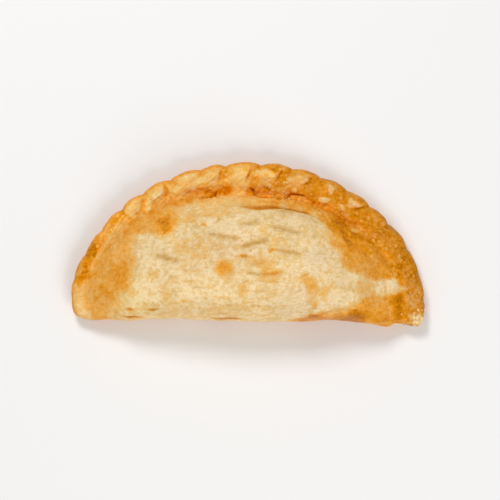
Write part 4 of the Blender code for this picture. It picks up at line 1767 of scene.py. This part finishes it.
class Tree(Graph):
    """A Geometry Nodes tree with named inputs, which scatters small things over a mesh."""

    crowding = 1.6

    def __init__(self, name: str, *sizes: str) -> None:
        """Starts the tree.

        Args:
            name: Name of the tree.
            *sizes: Names of its sizes, each of which becomes an input.
        """
        super().__init__(bpy.data.node_groups.new(name, "GeometryNodeTree"))
        ends = self.tree.interface
        ends.new_socket("Mesh", in_out="INPUT", socket_type="NodeSocketGeometry")
        for size in sizes:
            ends.new_socket(size, in_out="INPUT", socket_type="NodeSocketFloat")
        ends.new_socket("Seed", in_out="INPUT", socket_type="NodeSocketInt")
        ends.new_socket("Material", in_out="INPUT", socket_type="NodeSocketMaterial")
        ends.new_socket("Mesh", in_out="OUTPUT", socket_type="NodeSocketGeometry")
        self.given = self.tree.nodes.new("NodeGroupInput").outputs

    def kept(self, attribute: str) -> bpy.types.NodeSocket:
        """Returns the value that a mesh keeps under a name."""
        named = self.add("GeometryNodeInputNamedAttribute", {"Name": attribute}, data_type="FLOAT")
        return named.outputs[0]

    def keep(self, mesh: bpy.types.NodeSocket, attribute: str, value: Any) -> bpy.types.NodeSocket:
        """Keeps a value on a mesh.

        Args:
            mesh: The mesh.
            attribute: The name that it keeps the value under.
            value: The value.

        Returns:
            The mesh that keeps it.
        """
        inputs = {"Geometry": mesh, "Name": attribute, "Value": value}
        node = self.add("GeometryNodeStoreNamedAttribute", inputs, data_type="FLOAT", domain="POINT")
        return node.outputs[0]

    def scatter(self, density: str) -> bpy.types.Node:
        """Scatters points over the mesh.

        Args:
            density: Name of the value on the mesh that says how densely, from 0 to 1.

        Returns:
            The node that gives the points and their rotations.
        """
        area = self.math("MULTIPLY", self.given["Spacing"], self.given["Spacing"])
        inputs = {
            "Mesh": self.given["Mesh"],
            "Distance Min": self.given["Spacing"],
            "Density Max": self.math("DIVIDE", self.crowding, area),
            "Density Factor": self.kept(density),
            "Seed": self.given["Seed"],
        }
        return self.add("GeometryNodeDistributePointsOnFaces", inputs, distribute_method="POISSON")

    def sizes(self, rarity: float) -> bpy.types.NodeSocket:
        """Gives each point a random size.

        Args:
            rarity: 1 where all sizes are as common, and higher where the larger ones are rarer.

        Returns:
            The size of each point.
        """
        random = self.add("FunctionNodeRandomValue", {"Seed": self.given["Seed"]}, data_type="FLOAT")
        spread = self.math("SUBTRACT", self.given["Largest"], self.given["Smallest"])
        chance = self.math("POWER", random.outputs[1], rarity)
        return self.math("MULTIPLY_ADD", chance, spread, self.given["Smallest"])

    def end(self, mesh: bpy.types.NodeSocket) -> None:
        """Finishes the tree with a plain mesh in the given material.

        Args:
            mesh: What the tree has made.
        """
        real = self.add("GeometryNodeRealizeInstances", {"Geometry": mesh}).outputs[0]
        dressed = self.add("GeometryNodeSetMaterial", {"Geometry": real, "Material": self.given["Material"]})
        self.add("NodeGroupOutput", {0: dressed.outputs[0]})

    def apply(self, piece: bpy.types.Object, values: dict[str, Any]) -> bpy.types.Mesh:
        """Runs the tree on a piece.

        Args:
            piece: The piece, which keeps its own mesh.
            values: A value for each input, by its name.

        Returns:
            The mesh that the tree makes.
        """
        modifier = piece.modifiers.new(self.tree.name, "NODES")
        modifier.node_group = self.tree
        for item in self.tree.interface.items_tree:
            if item.in_out == "INPUT" and item.name in values:
                modifier[item.identifier] = values[item.name]
        graph = bpy.context.evaluated_depsgraph_get()
        mesh = bpy.data.meshes.new_from_object(piece.evaluated_get(graph), depsgraph=graph)
        piece.modifiers.remove(modifier)
        return mesh


class BlisterTree(Tree):
    """Raises small round blisters on a crust, more of them where its blistering is high."""

    small_ones = 1.8
    roundness = 2.0
    fullness = 0.8
    ring_radius = 1.1
    ring_width = 0.35

    def __init__(self) -> None:
        """Builds the tree."""
        super().__init__("blisters", "Spacing", "Smallest", "Largest", "Steepness")
        points = self.scatter("blistering").outputs["Points"]
        points = self.keep(points, "radius", self.sizes(self.small_ones))
        here = self.add("GeometryNodeInputPosition").outputs[0]
        nearest = self.add("GeometryNodeSampleNearest", {0: points}, domain="POINT").outputs[0]

        def at_nearest(value: bpy.types.NodeSocket, kind: str) -> bpy.types.NodeSocket:
            """Returns a value of the nearest point."""
            inputs = {0: points, "Value": value, "Index": nearest}
            return self.add("GeometryNodeSampleIndex", inputs, data_type=kind).outputs[0]

        middle, size = at_nearest(here, "FLOAT_VECTOR"), at_nearest(self.kept("radius"), "FLOAT")
        share = self.math("DIVIDE", self.vector("DISTANCE", here, middle).outputs["Value"], size)
        crown = self.math("SUBTRACT", 1.0, self.math("POWER", share, self.roundness), clamp=True)
        crown = self.math("POWER", crown, self.fullness)
        off_ring = self.math("ABSOLUTE", self.math("SUBTRACT", share, self.ring_radius))
        ring = self.math("SUBTRACT", 1.0, self.math("DIVIDE", off_ring, self.ring_width), clamp=True)
        mesh = self.given["Mesh"]
        for name, value in (("blister_top", crown), ("blister_ring", ring)):
            mesh = self.keep(mesh, name, self.math("MAXIMUM", value, self.kept(name)))
        rise = self.math("MULTIPLY", self.math("MULTIPLY", size, self.given["Steepness"]), crown)
        outward = self.vector("SCALE", self.add("GeometryNodeInputNormal").outputs[0])
        self.tree.links.new(rise, outward.inputs["Scale"])
        self.end(self.add("GeometryNodeSetPosition", {0: mesh, "Offset": outward.outputs[0]}).outputs[0])


class FlakeTree(Tree):
    """Lays loose flakes on a crust, more of them where its flaking is high."""

    shape = (1.0, 0.7, 0.3)
    crumpling = 1.7
    tilt = 0.35
    full_turn = 6.28

    def __init__(self) -> None:
        """Builds the tree."""
        super().__init__("flakes", "Spacing", "Smallest", "Largest")
        scattered = self.scatter("flaking").outputs
        ball = self.add("GeometryNodeMeshIcoSphere", {"Radius": 1.0, "Subdivisions": 2}).outputs["Mesh"]
        place = self.add("GeometryNodeInputPosition").outputs[0]
        inputs = {"Vector": place, "Scale": self.crumpling, "Detail": 1.0}
        crumpled = self.add("ShaderNodeTexNoise", inputs).outputs[1]
        shift = self.vector("SUBTRACT", crumpled, (0.5, 0.5, 0.5)).outputs[0]
        flake = self.add("GeometryNodeSetPosition", {0: ball, "Offset": shift}).outputs[0]
        limits = {0: (-self.tilt, -self.tilt, 0.0), 1: (self.tilt, self.tilt, self.full_turn)}
        turn = self.add(
            "FunctionNodeRandomValue", limits | {"Seed": self.given["Seed"]}, data_type="FLOAT_VECTOR"
        ).outputs[0]
        turned = {0: scattered["Rotation"], 1: turn}
        laid = self.add("FunctionNodeRotateRotation", turned, rotation_space="LOCAL").outputs[0]
        size = self.vector("MULTIPLY", self.sizes(1.0), self.shape).outputs[0]
        inputs = {"Points": scattered["Points"], "Instance": flake, "Rotation": laid, "Scale": size}
        self.end(self.add("GeometryNodeInstanceOnPoints", inputs).outputs[0])


def put_in_scene(name: str, data: bpy.types.ID) -> bpy.types.Object:
    """Adds an object to the scene.

    Args:
        name: Name of the object.
        data: Its mesh, light or camera.

    Returns:
        The object.
    """
    made = bpy.data.objects.new(name, data)
    bpy.context.scene.collection.objects.link(made)
    return made


@dataclass(frozen=True)
class Scatter:
    """How small things are scattered: the least distance between them, their sizes and their seed."""

    spacing: float
    smallest: float
    largest: float
    seed: int

    def inputs(self, material: bpy.types.Material) -> dict[str, Any]:
        """Gives the values that a tree asks for.

        Args:
            material: The material of what is scattered.

        Returns:
            A value for each input, in metres where it is a length.
        """
        lengths = {"Spacing": self.spacing, "Smallest": self.smallest, "Largest": self.largest}
        lengths = {name: length * MM for name, length in lengths.items()}
        return lengths | {"Seed": self.seed, "Material": material}


@dataclass
class Crust:
    """The whole crust, and the few flakes that lie loose on it."""

    dough: Dough = field(default_factory=Dough)
    relief: Relief = field(default_factory=Relief)
    browning: Browning = field(default_factory=Browning)
    finish: CrustFinish = field(default_factory=CrustFinish)
    flake_finish: FlakeFinish = field(default_factory=FlakeFinish)
    blisters: tuple[Scatter, ...] = (Scatter(4.6, 1.0, 1.8, 3), Scatter(2.2, 0.6, 1.1, 8))
    blister_steepness: Point = (0.24, 0.30)
    loose_flakes: Scatter = Scatter(1.2, 0.35, 0.95, 5)
    # Where loose flakes lie: the three on the seam also stand in for painted highlights, the last is the torn
    # corner.
    flake_and_highlight_places: tuple[Place, ...] = (
        (8.4, 57.8, 2.0), (15.7, 56.2, 2.4), (16.0, 51.2, 2.2), (71.2, 0.8, 3.6),
    )

    def middle(self, points: Array) -> Array:
        """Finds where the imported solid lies.

        Args:
            points: Vertices of the plain form.

        Returns:
            The shift that lays the plain form over the solid.
        """
        low, high = (np.array(corner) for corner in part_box("empanada"))
        own_low, own_high = points.min(axis=0), points.max(axis=0)
        shift = (low + high) / 2.0 / MM - (own_low + own_high) / 2.0
        shift[2] = low[2] / MM
        return shift

    def flaking(self, skin: Skin) -> Array:
        """How thickly loose flakes lie in each place; on the seam they also stand in for painted highlights.

        Args:
            skin: The vertices.

        Returns:
            The covering of every vertex, from 0 to 1.
        """
        total = np.zeros_like(skin.x)
        for x, y, radius in self.flake_and_highlight_places:
            total = np.maximum(total, hump(np.hypot(skin.x - x, skin.y - y), radius) * (skin.face > 0.0))
        return total

    def mesh(self) -> bpy.types.Mesh:
        """Makes the crust's mesh, without its small blisters.

        Returns:
            The mesh, in metres, which keeps what its material and its trees read.
        """
        skin, faces = SkinMaker(self.dough).build()
        plain = np.stack([skin.x, skin.y, skin.z], axis=-1)
        points = plain + facing(plain, faces) * self.relief.height(skin, self.dough)[:, None]
        points[:, 2] = np.maximum(points[:, 2], 0.0)
        mesh = bpy.data.meshes.new("crust")
        mesh.from_pydata(((points + self.middle(plain)) * MM).tolist(), [], faces.tolist())
        brown = self.browning.amount(skin, self.dough, self.relief)
        kept = {
            "browning": brown,
            "blistering": self.browning.blistering(skin, self.dough, brown),
            "flaking": self.flaking(skin),
            "shade": self.browning.shade(skin, self.relief),
            # Painted light and shade.
            "painted_light": self.browning.painted_light(skin, self.dough, self.relief),
        }
        for name, values in kept.items():
            attribute = mesh.attributes.new(name, "FLOAT", "POINT")
            attribute.data.foreach_set("value", values.astype(np.float32))
        mesh.shade_smooth()
        return mesh

    def build(self) -> bpy.types.Object:
        """Makes the crust.

        Returns:
            The finished piece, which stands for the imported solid.
        """
        crust = put_in_scene("crust", self.mesh())
        material = self.finish.material()
        tree = BlisterTree()
        for scatter, steepness in zip(self.blisters, self.blister_steepness):
            crust.data = tree.apply(crust, scatter.inputs(material) | {"Steepness": steepness})
        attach(crust, "root")
        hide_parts("empanada")
        return crust

    def flakes(self, crust: bpy.types.Object) -> bpy.types.Object:
        """Lays the loose flakes.

        Args:
            crust: The crust that they lie on.

        Returns:
            All of them as one piece.
        """
        mesh = FlakeTree().apply(crust, self.loose_flakes.inputs(self.flake_finish.material()))
        mesh.shade_smooth()
        flakes = put_in_scene("flakes", mesh)
        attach(flakes, "root")
        return flakes


@dataclass
class Studio:
    """A plain pale floor, soft light and the camera, which looks straight down."""

    floor_size: float = 3.0
    floor_below: float = 0.0003
    floor_colour: Colour = (251, 250, 249)
    lamps: tuple[tuple[str, Place, float, float], ...] = (
        ("key light", (-0.25, 0.60, 0.85), 0.30, 5.0),
        ("fill light", (0.35, -0.75, 0.7), 0.6, 4.6),
    )
    room_light: float = 0.38
    lens: float = 200.0
    sensor: float = 36.0
    seen_width: float = 0.212
    seen_at_height: float = 0.006
    aim: Point = (0.00085, -0.00254)

    def floor(self) -> None:
        """Lays the floor."""
        half = self.floor_size / 2.0
        mesh = bpy.data.meshes.new("floor")
        sides = ((-half, -half), (half, -half), (half, half), (-half, half))
        mesh.from_pydata([(x, y, -self.floor_below) for x, y in sides], [], [(0, 1, 2, 3)])
        floor = put_in_scene("floor", mesh)
        nodes = Finish("floor")
        nodes.dress(Base_Color=linear(self.floor_colour), Roughness=0.8)
        mesh.materials.append(nodes.material)

    def lamp(self, name: str, place: Place, size: float, power: float) -> None:
        """Hangs a square soft light.

        Args:
            name: Name of the light.
            place: Where it hangs; it faces the turnover.
            size: Length of its side.
            power: Its power in watts.
        """
        light = bpy.data.lights.new(name, "AREA")
        light.size = size
        light.energy = power
        lamp = put_in_scene(name, light)
        lamp.location = place
        lamp.rotation_euler = (-Vector(place)).to_track_quat("-Z", "Y").to_euler()

    def build(self) -> None:
        """Sets up the floor, the lights, the room and the camera."""
        self.floor()
        for lamp in self.lamps:
            self.lamp(*lamp)
        world = bpy.data.worlds.new("room")
        world.use_nodes = True
        room = world.node_tree.nodes["Background"]
        room.inputs["Color"].default_value = (1.0, 1.0, 1.0, 1.0)
        room.inputs["Strength"].default_value = self.room_light
        bpy.context.scene.world = world
        bpy.context.scene.view_settings.view_transform = "Standard"
        lens = bpy.data.cameras.new("camera")
        lens.lens, lens.sensor_width = self.lens, self.sensor
        camera = put_in_scene("camera", lens)
        height = self.seen_width * self.lens / self.sensor + self.seen_at_height
        camera.location = (*self.aim, height)
        bpy.context.scene.camera = camera


def main() -> None:
    """Builds the crust, its flakes and the studio."""
    logging.basicConfig(level=logging.INFO, format="%(message)s")
    maker = Crust()
    crust = maker.build()
    LOG.info("crust: %d facets, %d vertices", len(crust.data.polygons), len(crust.data.vertices))
    flakes = maker.flakes(crust)
    LOG.info("flakes: %d facets", len(flakes.data.polygons))
    Studio().build()
    LOG.info("studio: floor, lights and camera")


if __name__ == "__main__":
    main()
